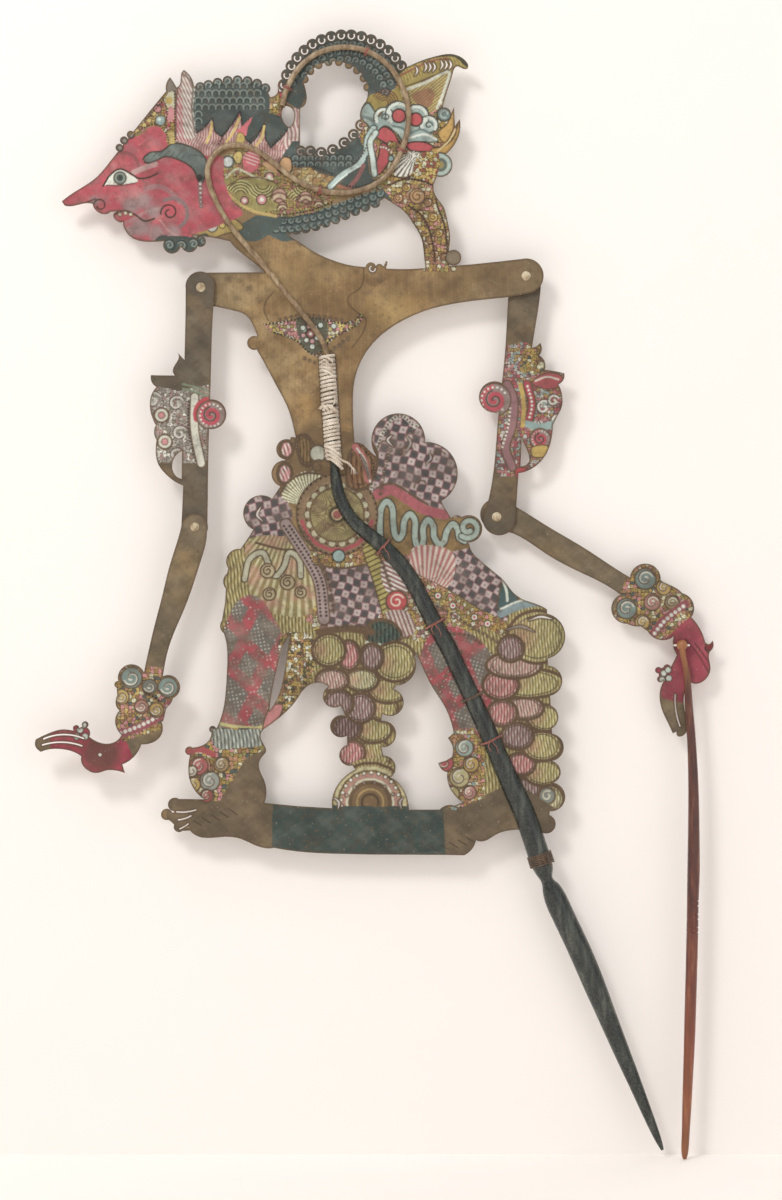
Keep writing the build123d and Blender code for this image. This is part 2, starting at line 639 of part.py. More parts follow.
# ------------------------------------------------------------------- bone pins
def bone_pin(spot, front_y, rear_y, dome):
    """Domed head in front, plain shaft through both hides."""
    top = front_y - FACE_CLEAR
    ball = (PIN_HEAD_R ** 2 + dome ** 2) / (2 * dome)
    half = math.asin(PIN_HEAD_R / ball) / 2
    shoulder = (ball * math.sin(half), top - dome + ball * (1 - math.cos(half)))
    with BuildPart() as pin:
        with BuildSketch(Plane(origin=(spot[0], 0, spot[1]), x_dir=(1, 0, 0), z_dir=(0, 0, 1))):
            with BuildLine():
                Polyline((0, rear_y), (PIN_R, rear_y), (PIN_R, top), (PIN_HEAD_R, top))
                ThreePointArc((PIN_HEAD_R, top), shoulder, (0, top - dome))
                Line((0, top - dome), (0, rear_y))
            make_face()
        revolve(axis=Axis((spot[0], 0, spot[1]), (0, 1, 0)))
    return pin.part


def bone_cap(spot, front_y):
    """Flat cap pushed on the end of the shaft behind the hide."""
    with BuildPart() as cap:
        with BuildSketch(Plane(origin=(spot[0], front_y, spot[1]), z_dir=(0, 1, 0))):
            Circle(CAP_R)
            Circle(PIN_R + CAP_FIT, mode=Mode.SUBTRACT)
        extrude(amount=CAP_T)
        rear_edges = cap.edges().filter_by(GeomType.CIRCLE).group_by(Axis.Y)[-1]
        chamfer(rear_edges.sort_by(SortBy.RADIUS)[-1], CAP_CHAMFER)
    return cap.part


# front face, rear face, dome height of each joint
BODY_F, BODY_R = -BODY_T / 2, BODY_T / 2
LEFT_UPPER_F = -UPPER_ARM_Y - ARM_T / 2
LEFT_UPPER_R = -UPPER_ARM_Y + ARM_T / 2
LEFT_FORE_F = -FOREARM_Y - ARM_T / 2
RIGHT_UPPER_F = UPPER_ARM_Y - ARM_T / 2
RIGHT_UPPER_R = UPPER_ARM_Y + ARM_T / 2
RIGHT_FORE_R = FOREARM_Y + ARM_T / 2
PINS = {
    "left_shoulder": (LEFT_SHOULDER, LEFT_UPPER_F, BODY_R, PIN_DOME),
    "left_elbow": (LEFT_ELBOW, LEFT_FORE_F, LEFT_UPPER_R, PIN_DOME),
    "right_shoulder": (RIGHT_SHOULDER, BODY_F, RIGHT_UPPER_R, PIN_DOME),
    "right_elbow": (RIGHT_ELBOW, RIGHT_UPPER_F, RIGHT_FORE_R, LOW_DOME),
}
for name, (spot, front, rear, dome) in PINS.items():
    pin_part = bone_pin(spot, front, rear + FACE_CLEAR + CAP_T, dome)
    pin_part.label = name + "_pin"
    export_step(pin_part, "parts/" + name + "_pin.step")
    cap_part = bone_cap(spot, rear + FACE_CLEAR)
    cap_part.label = name + "_cap"
    export_step(cap_part, "parts/" + name + "_cap.step")


# -------------------------------------------------------------------- main rod
with BuildPart() as main_rod:
    for i, (x, z, half_width, half_depth) in enumerate(MAIN_ROD):
        run_x, run_z = direction_at(MAIN_ROD, i)
        with BuildSketch(Plane(origin=(x, 0, z), x_dir=(0, 1, 0), z_dir=(run_x, 0, run_z))):
            Ellipse(half_depth, half_width)
    loft()
    # slot that takes the hide, leaving one leg in front and one behind
    with BuildSketch(Plane.XZ):
        outline([SLOT_BOTTOM], [SLOT_SHOULDER], [(SLOT_SHOULDER[0], SLOT_TOP)],
                [(SLOT_LEFT, SLOT_TOP)], [(SLOT_LEFT, SLOT_BOTTOM[1])])
    extrude(amount=SLOT_HALF, both=True, mode=Mode.SUBTRACT)

foot_plane = Plane(origin=(0, 0, LEG_FOOT))
stem = split(main_rod.part, bisect_by=foot_plane, keep=Keep.BOTTOM)
stem.label = "main_rod"
export_step(stem, "parts/main_rod.step")
legs = split(main_rod.part, bisect_by=foot_plane, keep=Keep.TOP)
front_leg = split(legs, bisect_by=Plane.XZ, keep=Keep.TOP)
front_leg.label = "rod_leg_front"
export_step(front_leg, "parts/rod_leg_front.step")
rear_leg = split(legs, bisect_by=Plane.XZ, keep=Keep.BOTTOM)
rear_leg.label = "rod_leg_rear"
export_step(rear_leg, "parts/rod_leg_rear.step")


# ------------------------------------------------------------- strands and ties
def strand(side):
    with BuildPart() as rib:
        with BuildLine() as path:
            Spline(*[(x, side * RIB_Y, z) for x, z in RIB_LINE])
        with BuildSketch(Plane(origin=path.line @ 0, z_dir=path.line % 0)):
            Circle(RIB_R)
        sweep(path=path.wires()[0])
    return rib.part


front_rib = strand(-1)
front_rib.label = "front_rib"
export_step(front_rib, "parts/front_rib.step")
rear_rib = strand(1)
rear_rib.label = "rear_rib"
export_step(rear_rib, "parts/rear_rib.step")

with BuildPart() as waist_binding:
    for spot in STRING_SPOTS:
        thread_ring(spot, (0, 1), STRING_A, STRING_B, STRING_R)
waist_binding.part.label = "waist_binding"
export_step(waist_binding.part, "parts/waist_binding.step")

for name, i in RIB_TIES.items():
    with BuildPart() as tie:
        thread_ring(RIB_LINE[i], direction_at(RIB_LINE, i), RIB_TIE_A, RIB_TIE_B, THREAD_R)
    tie.part.label = name
    export_step(tie.part, "parts/" + name + ".step")

for name, i in ROD_TIES.items():
    x, z, half_width, half_depth = MAIN_ROD[i]
    with BuildPart() as tie:
        thread_ring((x, z), direction_at(MAIN_ROD, i), half_width + ROD_TIE_MARGIN,
                    half_depth + ROD_TIE_MARGIN, THREAD_R)
    tie.part.label = name
    export_step(tie.part, "parts/" + name + ".step")

with BuildPart() as grip_winding:
    for i in range(WINDING_TURNS):
        z = WINDING_TOP - WINDING_PITCH * i
        x = WINDING_FOOT[0] - WINDING_SLOPE * (z - WINDING_FOOT[1])
        thread_ring((x, z), (WINDING_SLOPE, -1), WINDING_A, WINDING_B, WINDING_R)
grip_winding.part.label = "grip_winding"
export_step(grip_winding.part, "parts/grip_winding.step")

# -------------------------------------------------------------------- hand rod
# stations: z, x, radius
HAND_ROD = [
    (139.8, 81.7, 2.1),
    (135.0, 82.4, 1.8),
    (128.0, 83.9, 1.8),
    (119.0, 85.0, 2.1),
    (108.0, 85.5, 2.4),
    (96.0, 86.4, 2.6),
    (78.0, 87.6, 2.8),
    (60.0, 88.3, 3.1),
    (40.0, 88.6, 3.4),
    (20.0, 88.6, 3.65),
    (5.0, 88.5, 3.8),
    (-10.0, 88.1, 3.6),
    (-22.0, 87.9, 3.55),
    (-34.0, 87.7, 3.6),
    (-55.0, 87.2, 3.55),
    (-80.0, 86.5, 3.5),
    (-100.0, 85.9, 3.35),
    (-120.0, 85.1, 3.05),
    (-140.0, 84.3, 2.75),
    (-156.0, 83.6, 2.4),
    (-165.0, 83.2, 2.0),
    (-168.4, 83.1, 1.2),
]
with BuildPart() as hand_rod:
    for z, x, radius in HAND_ROD:
        with BuildSketch(Plane(origin=(x, HAND_ROD_Y, z))):
            Circle(radius)
    loft()
    with Locations((ROD_HEAD[0], HAND_ROD_Y, ROD_HEAD[1])):
        Sphere(ROD_HEAD_R)
    with Locations(Location((ROD_HEAD[0], HAND_ROD_Y, ROD_HEAD[1]), (0, 90, 0))):
        Cylinder(TIE_BORE_R, 4 * ROD_HEAD_R, mode=Mode.SUBTRACT)
    for z in CARVED_RINGS:
        with Locations((CARVED_X + CARVED_LEAN * z, HAND_ROD_Y, z)):
            Torus(CARVED_RING_R, CARVED_GROOVE_R, mode=Mode.SUBTRACT)
hand_rod.part.label = "hand_rod"
export_step(hand_rod.part, "parts/hand_rod.step")

# thread that carries the hand rod: round through the rod head, back through the palm
with BuildPart() as hand_rod_tie:
    reach = ROD_HEAD_R + TIE_GAP + TIE_R
    with Locations(Location((ROD_HEAD[0], HAND_ROD_Y, ROD_HEAD[1]), (0, 90, 0))):
        Cylinder(TIE_R, 2 * reach)
    with Locations(Location((ROD_HEAD[0], TIE_BRIDGE_Y, ROD_HEAD[1]), (0, 90, 0))):
        Cylinder(TIE_R, 2 * reach)
    for side in (-1, 1):
        middle = (HAND_ROD_Y + TIE_BRIDGE_Y) / 2
        with Locations(Location((ROD_HEAD[0] + side * reach, middle, ROD_HEAD[1]), (90, 0, 0))):
            Cylinder(TIE_R, TIE_BRIDGE_Y - HAND_ROD_Y)
        with Locations((ROD_HEAD[0] + side * reach, HAND_ROD_Y, ROD_HEAD[1]),
                       (ROD_HEAD[0] + side * reach, TIE_BRIDGE_Y, ROD_HEAD[1])):
            Sphere(TIE_R)
    knot_y = FOREARM_Y + ARM_T / 2 + KNOT_GAP
    knot_middle = knot_y + KNOT_T / 2
    shaft_middle = (TIE_BRIDGE_Y + knot_middle) / 2
    with Locations(Location((ROD_HEAD[0], shaft_middle, ROD_HEAD[1]), (90, 0, 0))):
        Cylinder(TIE_SHAFT_R, knot_middle - TIE_BRIDGE_Y)
    with Locations(Location((ROD_HEAD[0], knot_middle, ROD_HEAD[1]), (90, 0, 0))):
        Cylinder(KNOT_R, KNOT_T)
    knot_edges = hand_rod_tie.edges().filter_by(GeomType.CIRCLE)
    fillet(knot_edges.filter_by(lambda e: abs(e.radius - KNOT_R) < 0.01), KNOT_ROUND)
hand_rod_tie.part.label = "hand_rod_tie"
export_step(hand_rod_tie.part, "parts/hand_rod_tie.step")
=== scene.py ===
import math
import bpy
import numpy as np
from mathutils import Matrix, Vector, geometry


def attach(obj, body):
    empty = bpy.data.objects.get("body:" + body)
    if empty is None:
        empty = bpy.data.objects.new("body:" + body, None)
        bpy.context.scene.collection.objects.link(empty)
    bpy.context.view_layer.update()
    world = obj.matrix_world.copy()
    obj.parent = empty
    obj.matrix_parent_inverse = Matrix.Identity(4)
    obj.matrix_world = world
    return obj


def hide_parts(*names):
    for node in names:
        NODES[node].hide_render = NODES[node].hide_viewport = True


# Flat hide shadow puppet. Blender units are metres; the paint and the pierced
# work are laid out in millimetres, x to the right and z up, on the front face.
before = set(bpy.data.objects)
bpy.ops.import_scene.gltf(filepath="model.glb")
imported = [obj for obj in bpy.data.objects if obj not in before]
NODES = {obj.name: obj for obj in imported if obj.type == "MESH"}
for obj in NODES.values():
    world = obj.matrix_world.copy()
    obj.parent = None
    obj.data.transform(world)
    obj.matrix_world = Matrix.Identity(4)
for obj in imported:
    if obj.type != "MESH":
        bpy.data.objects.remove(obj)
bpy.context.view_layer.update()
MM = 0.001

# the paint and the pierced work, in millimetres
BAND = 0.8                # height of the rows the even-odd test works in
CELL = 5.0                # side of the cells edges are looked up in
SOFT = 0.22               # half of the soft edge of a painted line
CHORD = 0.75              # longest step along a cut edge
LATTICE = 0.62            # spacing of the points the paint lies on
LATTICE_GAP = 0.3         # lattice to a cut edge
CUT_GAP = 0.4             # a small piercing to the CAD edges
CUTS_APART = 0.35         # one small piercing to the next
RIM_REACH = 1.25          # bare brown edge left by the chisel
RIM_FADE = 0.8            # over which it runs into the paint
RIM_SHARE = 0.75          # how much of the paint it covers
ENGRAVED = 0.12           # how deep engraved lines go

# the stage and the camera, in metres
WALL_Y = 0.016            # paper just behind the puppet
FLOOR_Z = -0.1690         # just below the main rod's point
STAGE_HALF = 3.0          # half width of the paper, and its height
CAMERA_BACK = 1.8         # camera in front of the hide
FRAME_HIGH = 0.726        # height of the picture at the puppet
SENSOR = 36               # mm


# --------------------------------------------------------------- plane geometry
def smooth(points, closed=False, steps=6):
    """Catmull-Rom curve through the points."""
    p = np.array(points, float)
    if len(p) < 3:
        return p
    if closed:
        q = np.concatenate([p[-1:], p, p[:2]])
    else:
        q = np.concatenate([2 * p[:1] - p[1:2], p, 2 * p[-1:] - p[-2:-1]])
    out = []
    for a, b, c, d in zip(q[:-3], q[1:-2], q[2:-1], q[3:]):
        for k in range(steps):
            t = k / steps
            out.append(0.5 * (2 * b + (c - a) * t + (2 * a - 5 * b + 4 * c - d) * t * t
                              + (3 * b - a - 3 * c + d) * t ** 3))
    if not closed:
        out.append(p[-1])
    return np.array(out)


def to_segments(loop):
    return np.concatenate([loop, np.roll(loop, -1, 0)], 1)


def inside(points, segments):
    """Even-odd test, in bands of height."""
    out = np.zeros(len(points), bool)
    if not len(points):
        return out
    order = np.argsort(points[:, 1], kind="stable")
    z = points[order, 1]
    low = np.minimum(segments[:, 1], segments[:, 3])
    high = np.maximum(segments[:, 1], segments[:, 3])
    count = int((z[-1] - z[0]) / BAND) + 1
    cuts = np.searchsorted(z, z[0] + BAND * np.arange(count + 1))
    cuts[-1] = len(z)
    for k in range(count):
        rows = order[cuts[k]:cuts[k + 1]]
        s = segments[(low <= z[0] + BAND * (k + 1)) & (high >= z[0] + BAND * k)]
        if not len(rows) or not len(s):
            continue
        x = points[rows, 0][:, None]
        y = points[rows, 1][:, None]
        hit = (s[:, 1] > y) != (s[:, 3] > y)
        rise = np.where(s[:, 3] == s[:, 1], 1, s[:, 3] - s[:, 1])
        cross = s[:, 0] + (y - s[:, 1]) * (s[:, 2] - s[:, 0]) / rise
        out[rows] = np.sum(hit & (x < cross), axis=1) % 2 == 1
    return out


def distance(points, segments):
    """Distance from each point to the nearest segment."""
    best = np.full(len(points), 1e9)
    for x0, z0, x1, z1 in segments:
        dx, dz = x1 - x0, z1 - z0
        t = ((points[:, 0] - x0) * dx + (points[:, 1] - z0) * dz) / max(dx * dx + dz * dz, 1e-9)
        t = np.clip(t, 0, 1)
        gap = (points[:, 0] - x0 - t * dx) ** 2 + (points[:, 1] - z0 - t * dz) ** 2
        best = np.minimum(best, gap)
    return np.sqrt(best)


def edge_distance(points, segments, reach):
    """Distance to the hide's edges, looked up in square cells, at most reach."""
    best = np.full(len(points), reach)
    home = np.floor(points / CELL).astype(int)
    key = home[:, 0] * 10007 + home[:, 1]
    order = np.argsort(key, kind="stable")
    cuts = np.flatnonzero(np.diff(key[order])) + 1
    low = np.minimum(segments[:, :2], segments[:, 2:])
    high = np.maximum(segments[:, :2], segments[:, 2:])
    for rows in np.split(order, cuts):
        corner = home[rows[0]] * CELL
        near = np.all((high > corner - reach) & (low < corner + CELL + reach), axis=1)
        if near.any():
            best[rows] = np.minimum(best[rows], distance(points[rows], segments[near]))
    return best


def hide_loops(name):
    """Outer edge and holes of a flat CAD hide, in mm, and its two faces' y."""
    mesh = NODES[name].data
    co = np.empty(len(mesh.vertices) * 3)
    mesh.vertices.foreach_get("co", co)
    co = co.reshape(-1, 3) / MM
    mesh.calc_loop_triangles()
    tri = np.empty(len(mesh.loop_triangles) * 3, int)
    mesh.loop_triangles.foreach_get("vertices", tri)
    tri = tri.reshape(-1, 3)
    front, rear = co[:, 1].min(), co[:, 1].max()
    tri = tri[np.all(np.abs(co[tri][:, :, 1] - front) < 0.01, axis=1)]
    spots = {}
    same = [spots.setdefault(tuple(k), i)
            for i, k in enumerate(np.round(co[:, [0, 2]] * 200).astype(int).tolist())]
    same = np.array(same)[tri]
    edges = set()
    for a, b, c in same.tolist():
        edges.update(((a, b), (b, c), (c, a)))
    follow = {a: b for a, b in edges if (b, a) not in edges and a != b}
    loops = []
    while follow:
        start, spot = follow.popitem()
        loop = [start]
        while spot != start and spot in follow:
            loop.append(spot)
            spot = follow.pop(spot)
        if len(loop) > 2:
            loops.append(co[loop][:, [0, 2]])
    loops.sort(key=lambda p: (-len(p), p[0, 0], p[0, 1]))
    return loops, front, rear


# ----------------------------------------------------------------------- paint
class Canvas:
    """Colours on the points of one hide. Colours are sRGB, 0 to 255."""

    def __init__(self, points, ground):
        self.p = points
        self.rgb = np.tile(np.array(ground, float), (len(points), 1))
        self.gilt = np.zeros(len(points))
        self.depth = np.zeros(len(points))
        self.cell = 6.0
        home = np.floor(points / self.cell).astype(int)
        self.base = home.min(0)
        home -= self.base
        self.rows = home[:, 1].max() + 2
        key = home[:, 0] * self.rows + home[:, 1]
        self.order = np.argsort(key, kind="stable")
        self.cuts = np.searchsorted(key[self.order],
                                    np.arange((home[:, 0].max() + 2) * self.rows + 1))

    def near(self, low, high):
        a = np.floor(np.array(low) / self.cell).astype(int) - self.base
        b = np.floor(np.array(high) / self.cell).astype(int) - self.base
        a = np.maximum(a, 0)
        b = np.minimum(b, [(len(self.cuts) - 2) // self.rows, self.rows - 1])
        if (a > b).any():
            return np.empty(0, int)
        parts = []
        for column in range(a[0], b[0] + 1):
            first = self.cuts[column * self.rows + a[1]]
            last = self.cuts[min(column * self.rows + b[1] + 1, len(self.cuts) - 1)]
            parts.append(self.order[first:last])
        return np.concatenate(parts)

    def put(self, rows, cover, colour, gilt=0.0, depth=0.0):
        if not len(rows):
            return
        a = np.asarray(cover, float)[:, None]
        self.rgb[rows] = self.rgb[rows] * (1 - a) + np.asarray(colour, float) * a
        a = a[:, 0]
        self.gilt[rows] = self.gilt[rows] * (1 - a) + gilt * a
        self.depth[rows] = self.depth[rows] * (1 - a) + depth * a

    def area(self, points, curved=True):
        """Rows inside a closed outline."""
        loop = smooth(points, True) if curved else np.array(points, float)
        rows = self.near(loop.min(0), loop.max(0))
        return rows[inside(self.p[rows], to_segments(loop))] if len(rows) else rows

    def fill(self, points, colour, curved=True, edge=None, width=0.8, gilt=0.0, share=1.0):
        rows = self.area(points, curved)
        self.put(rows, np.full(len(rows), share), colour, gilt)
        if edge is not None:
            self.line([*points, points[0]] if not curved else points, edge, width, curved, curved)
        return rows

    def line(self, points, colour, width=0.8, curved=True, closed=False, gilt=0.0, depth=0.0,
             share=1.0):
        path = smooth(points, closed) if curved else np.array(points, float)
        if closed:
            path = np.concatenate([path, path[:1]])
        pad = width / 2 + 0.6
        rows = self.near(path.min(0) - pad, path.max(0) + pad)
        if not len(rows):
            return
        gap = distance(self.p[rows], np.concatenate([path[:-1], path[1:]], 1))
        cover = np.clip((width / 2 + SOFT - gap) / (2 * SOFT), 0, 1) * share
        use = cover > 0
        self.put(rows[use], cover[use], colour, gilt, depth)

    def disc(self, x, z, r, colour, rim=None, rim_width=0.7, gilt=0.0, share=1.0):
        rows = self.near((x - r - 1, z - r - 1), (x + r + 1, z + r + 1))
        gap = np.hypot(self.p[rows, 0] - x, self.p[rows, 1] - z)
        cover = np.clip((r + SOFT - gap) / (2 * SOFT), 0, 1) * share
        use = cover > 0
        self.put(rows[use], cover[use], colour, gilt)
        if rim is not None:
            cover = np.clip((rim_width / 2 + SOFT - np.abs(gap - r)) / (2 * SOFT), 0, 1)
            use = cover > 0
            self.put(rows[use], cover[use], rim)

    def arc(self, x, z, r, first, last, colour, width=0.7, gilt=0.0, rise=0.0):
        """Arc or, with a rise in its radius, a spiral."""
        count = max(4, int(abs(last - first) / 18))
        t = np.linspace(0, 1, count)
        a = np.radians(first + (last - first) * t)
        ray = r + rise * t
        self.line(np.stack([x + ray * np.cos(a), z + ray * np.sin(a)], 1), colour, width,
                  curved=False, gilt=gilt)

    def beads(self, points, colour, r=0.5, pitch=1.9, curved=True, gilt=0.0, core=None):
        """Round dots along a line."""
        path = smooth(points) if curved else np.array(points, float)
        run = np.concatenate([[0], np.cumsum(np.hypot(*np.diff(path, axis=0).T))])
        for s in np.arange(pitch / 2, run[-1], pitch):
            x, z = (np.interp(s, run, path[:, k]) for k in (0, 1))
            self.disc(x, z, r, colour, gilt=gilt)
            if core is not None:
                self.disc(x, z, r * 0.45, core)

    def pattern(self, rows, colours, share=1.0, gilt=0.0):
        self.put(rows, np.full(len(rows), share), colours, gilt)

    def stripes(self, rows, angle, pitch, dark, light, duty=0.5, wander=0.0, centre=None, share=1.0):
        """Straight or, round a centre, fanned stripes."""
        x, z = self.p[rows].T
        if centre is None:
            a = math.radians(angle)
            u = x * math.cos(a) + z * math.sin(a) + wander * np.sin(
                (z * math.cos(a) - x * math.sin(a)) * 0.55)
            phase = u / pitch
        else:
            phase = np.arctan2(z - centre[1], x - centre[0]) / (2 * math.pi) * pitch
        wave = np.abs((phase % 1) - 0.5) * 2
        k = np.clip((wave - (1 - duty)) / 0.3 + 0.5, 0, 1)[:, None]
        self.put(rows, np.full(len(rows), share), np.array(dark) * (1 - k) + np.array(light) * k)

    def checks(self, rows, size, angle, dark, light, ground, centre, core=None):
        """Checkered cloth: squares with a line between them and a dot in each."""
        a = math.radians(angle)
        x = self.p[rows, 0] - centre[0]
        z = self.p[rows, 1] - centre[1]
        u = (x * math.cos(a) + z * math.sin(a)) / size
        v = (z * math.cos(a) - x * math.sin(a)) / size
        u, v = u + 0.09 * np.sin(v * 1.9 + 1.0), v + 0.09 * np.sin(u * 1.6)
        odd = ((np.floor(u) + np.floor(v)) % 2)[:, None]
        colour = np.array(dark) * (1 - odd) + np.array(light) * odd
        fu, fv = np.abs(u % 1 - 0.5), np.abs(v % 1 - 0.5)
        line = np.clip((np.maximum(fu, fv) - 0.40) / 0.06, 0, 1)[:, None] * 0.7
        colour = colour * (1 - line) + np.array(ground) * line
        if core is not None:
            dot = (np.clip((0.13 - np.hypot(fu, fv)) / 0.06, 0, 1)[:, None]) * 0.8
            colour = colour * (1 - dot) + np.array(core) * dot
        self.put(rows, np.ones(len(rows)), colour)

    def mosaic(self, rows, size, palette, line=(70, 55, 42), seed=1, joint=0.16, gilt=0.3, stretch=1.0,
               share=1.0):
        """Small cells, each of one colour, with dark joints: the fine chiselled filling."""
        if not len(rows):
            return
        u = self.p[rows, 0] / size
        v = self.p[rows, 1] / size / stretch
        iu, iv = np.floor(u), np.floor(v)
        first = np.full(len(rows), 1e9)
        second = np.full(len(rows), 1e9)
        pick = np.zeros(len(rows))
        for du in (-1, 0, 1):
            for dv in (-1, 0, 1):
                cu, cv = iu + du, iv + dv
                h = np.sin(cu * 127.1 + cv * 311.7 + seed * 17.3) * 43758.5453
                g = np.sin(cu * 269.5 + cv * 183.3 + seed * 5.1) * 43758.5453
                h, g = h - np.floor(h), g - np.floor(g)
                d = np.hypot(u - cu - 0.15 - 0.7 * h, v - cv - 0.15 - 0.7 * g)
                closer = d < first
                second = np.where(closer, first, np.minimum(second, d))
                pick = np.where(closer, (h * 7.31 + g * 3.77) % 1, pick)
                first = np.where(closer, d, first)
        palette = np.array(palette, float)
        colour = palette[(pick * len(palette)).astype(int) % len(palette)]
        k = np.clip((joint - (second - first)) / joint + 0.3, 0, 1)[:, None]
        core = np.clip((0.16 - first) / 0.1, 0, 1)[:, None] * 0.6
        colour = colour * (1 - core) + np.array(line) * core
        self.put(rows, np.full(len(rows), share), colour * (1 - k) + np.array(line) * k, gilt)

    def mottle(self, rows, size, colour, amount, seed=0.0):
        """Soft uneven patches."""
        x, z = self.p[rows].T / size
        n = (np.sin(x * 1.3 + z * 0.7 + seed) + np.sin(x * 0.5 - z * 1.7 + 2.1 * seed)
             + np.sin(x * 2.3 + z * 2.9 + seed * 3.7) * 0.6 + np.sin(z * 4.1 - x * 3.3) * 0.4)
        cover = np.clip(n / 3 + 0.5, 0, 1) ** 2 * amount
        a = cover[:, None]
        self.rgb[rows] = self.rgb[rows] * (1 - a) + np.asarray(colour, float) * a


INK = (58, 48, 40)
RIM = (98, 76, 58)
GOLD = (182, 150, 86)
OLIVE = (150, 136, 86)
CREAM = (216, 206, 176)
WHITE = (226, 220, 208)
PINK = (186, 84, 94)
ROSE = (204, 140, 140)
MAUVE = (140, 100, 102)
GREY = (88, 94, 90)
HAIR = (70, 77, 74)
TEAL = (150, 166, 162)
MIX = [GOLD, OLIVE, CREAM, ROSE, (168, 120, 92), (196, 168, 104), MAUVE, WHITE]
GOLDS = [GOLD, (196, 166, 104), OLIVE, (166, 132, 80), CREAM, (150, 108, 84), (188, 140, 110)]


def patola(c, rows, angle, centre):
    """Red cloth with diamonds and rows of small white dots."""
    a = math.radians(angle)
    x = c.p[rows, 0] - centre[0]
    z = c.p[rows, 1] - centre[1]
    u = x * math.cos(a) + z * math.sin(a)
    v = z * math.cos(a) - x * math.sin(a)
    d = np.abs((u / 26 + 0.5) % 1 - 0.5) + np.abs((v / 34 + 0.5) % 1 - 0.5)
    ragged = 0.03 * np.sin(u * 1.7) * np.sin(v * 2.3)
    grey = np.clip((np.abs(d + ragged - 0.42) - 0.15) / 0.05, 0, 1) * 0.92
    colour = np.array((172, 80, 86)) * (1 - grey[:, None]) + np.array((108, 108, 100)) * grey[:, None]
    fu, fv = u / 2.2, v / 2.2
    dot = np.hypot(fu % 1 - 0.5, fv % 1 - 0.5)
    on = np.sin(np.floor(fu) * 12.9 + np.floor(fv) * 78.2) * 43758.5
    on = (on - np.floor(on)) < 0.35 + 0.45 * grey
    k = (np.clip((0.3 - dot) / 0.14, 0, 1) * on * 0.85)[:, None]
    colour = colour * (1 - k) + np.array((206, 196, 184)) * k
    c.put(rows, np.ones(len(rows)), colour)
    c.mottle(rows, 3.5, (112, 92, 84), 0.6, 2.0)
    c.mottle(rows, 6.5, (150, 136, 122), 0.5, 5.0)


def curls(c, spots, r, light=(140, 146, 138), dark=(44, 48, 46), start=150):
    """Engraved hair locks."""
    for x, z in spots:
        c.arc(x, z, r, start, start - 400, light, 0.75, rise=-r * 0.75)
        c.arc(x, z, r + 0.6, start, start - 250, dark, 0.6)


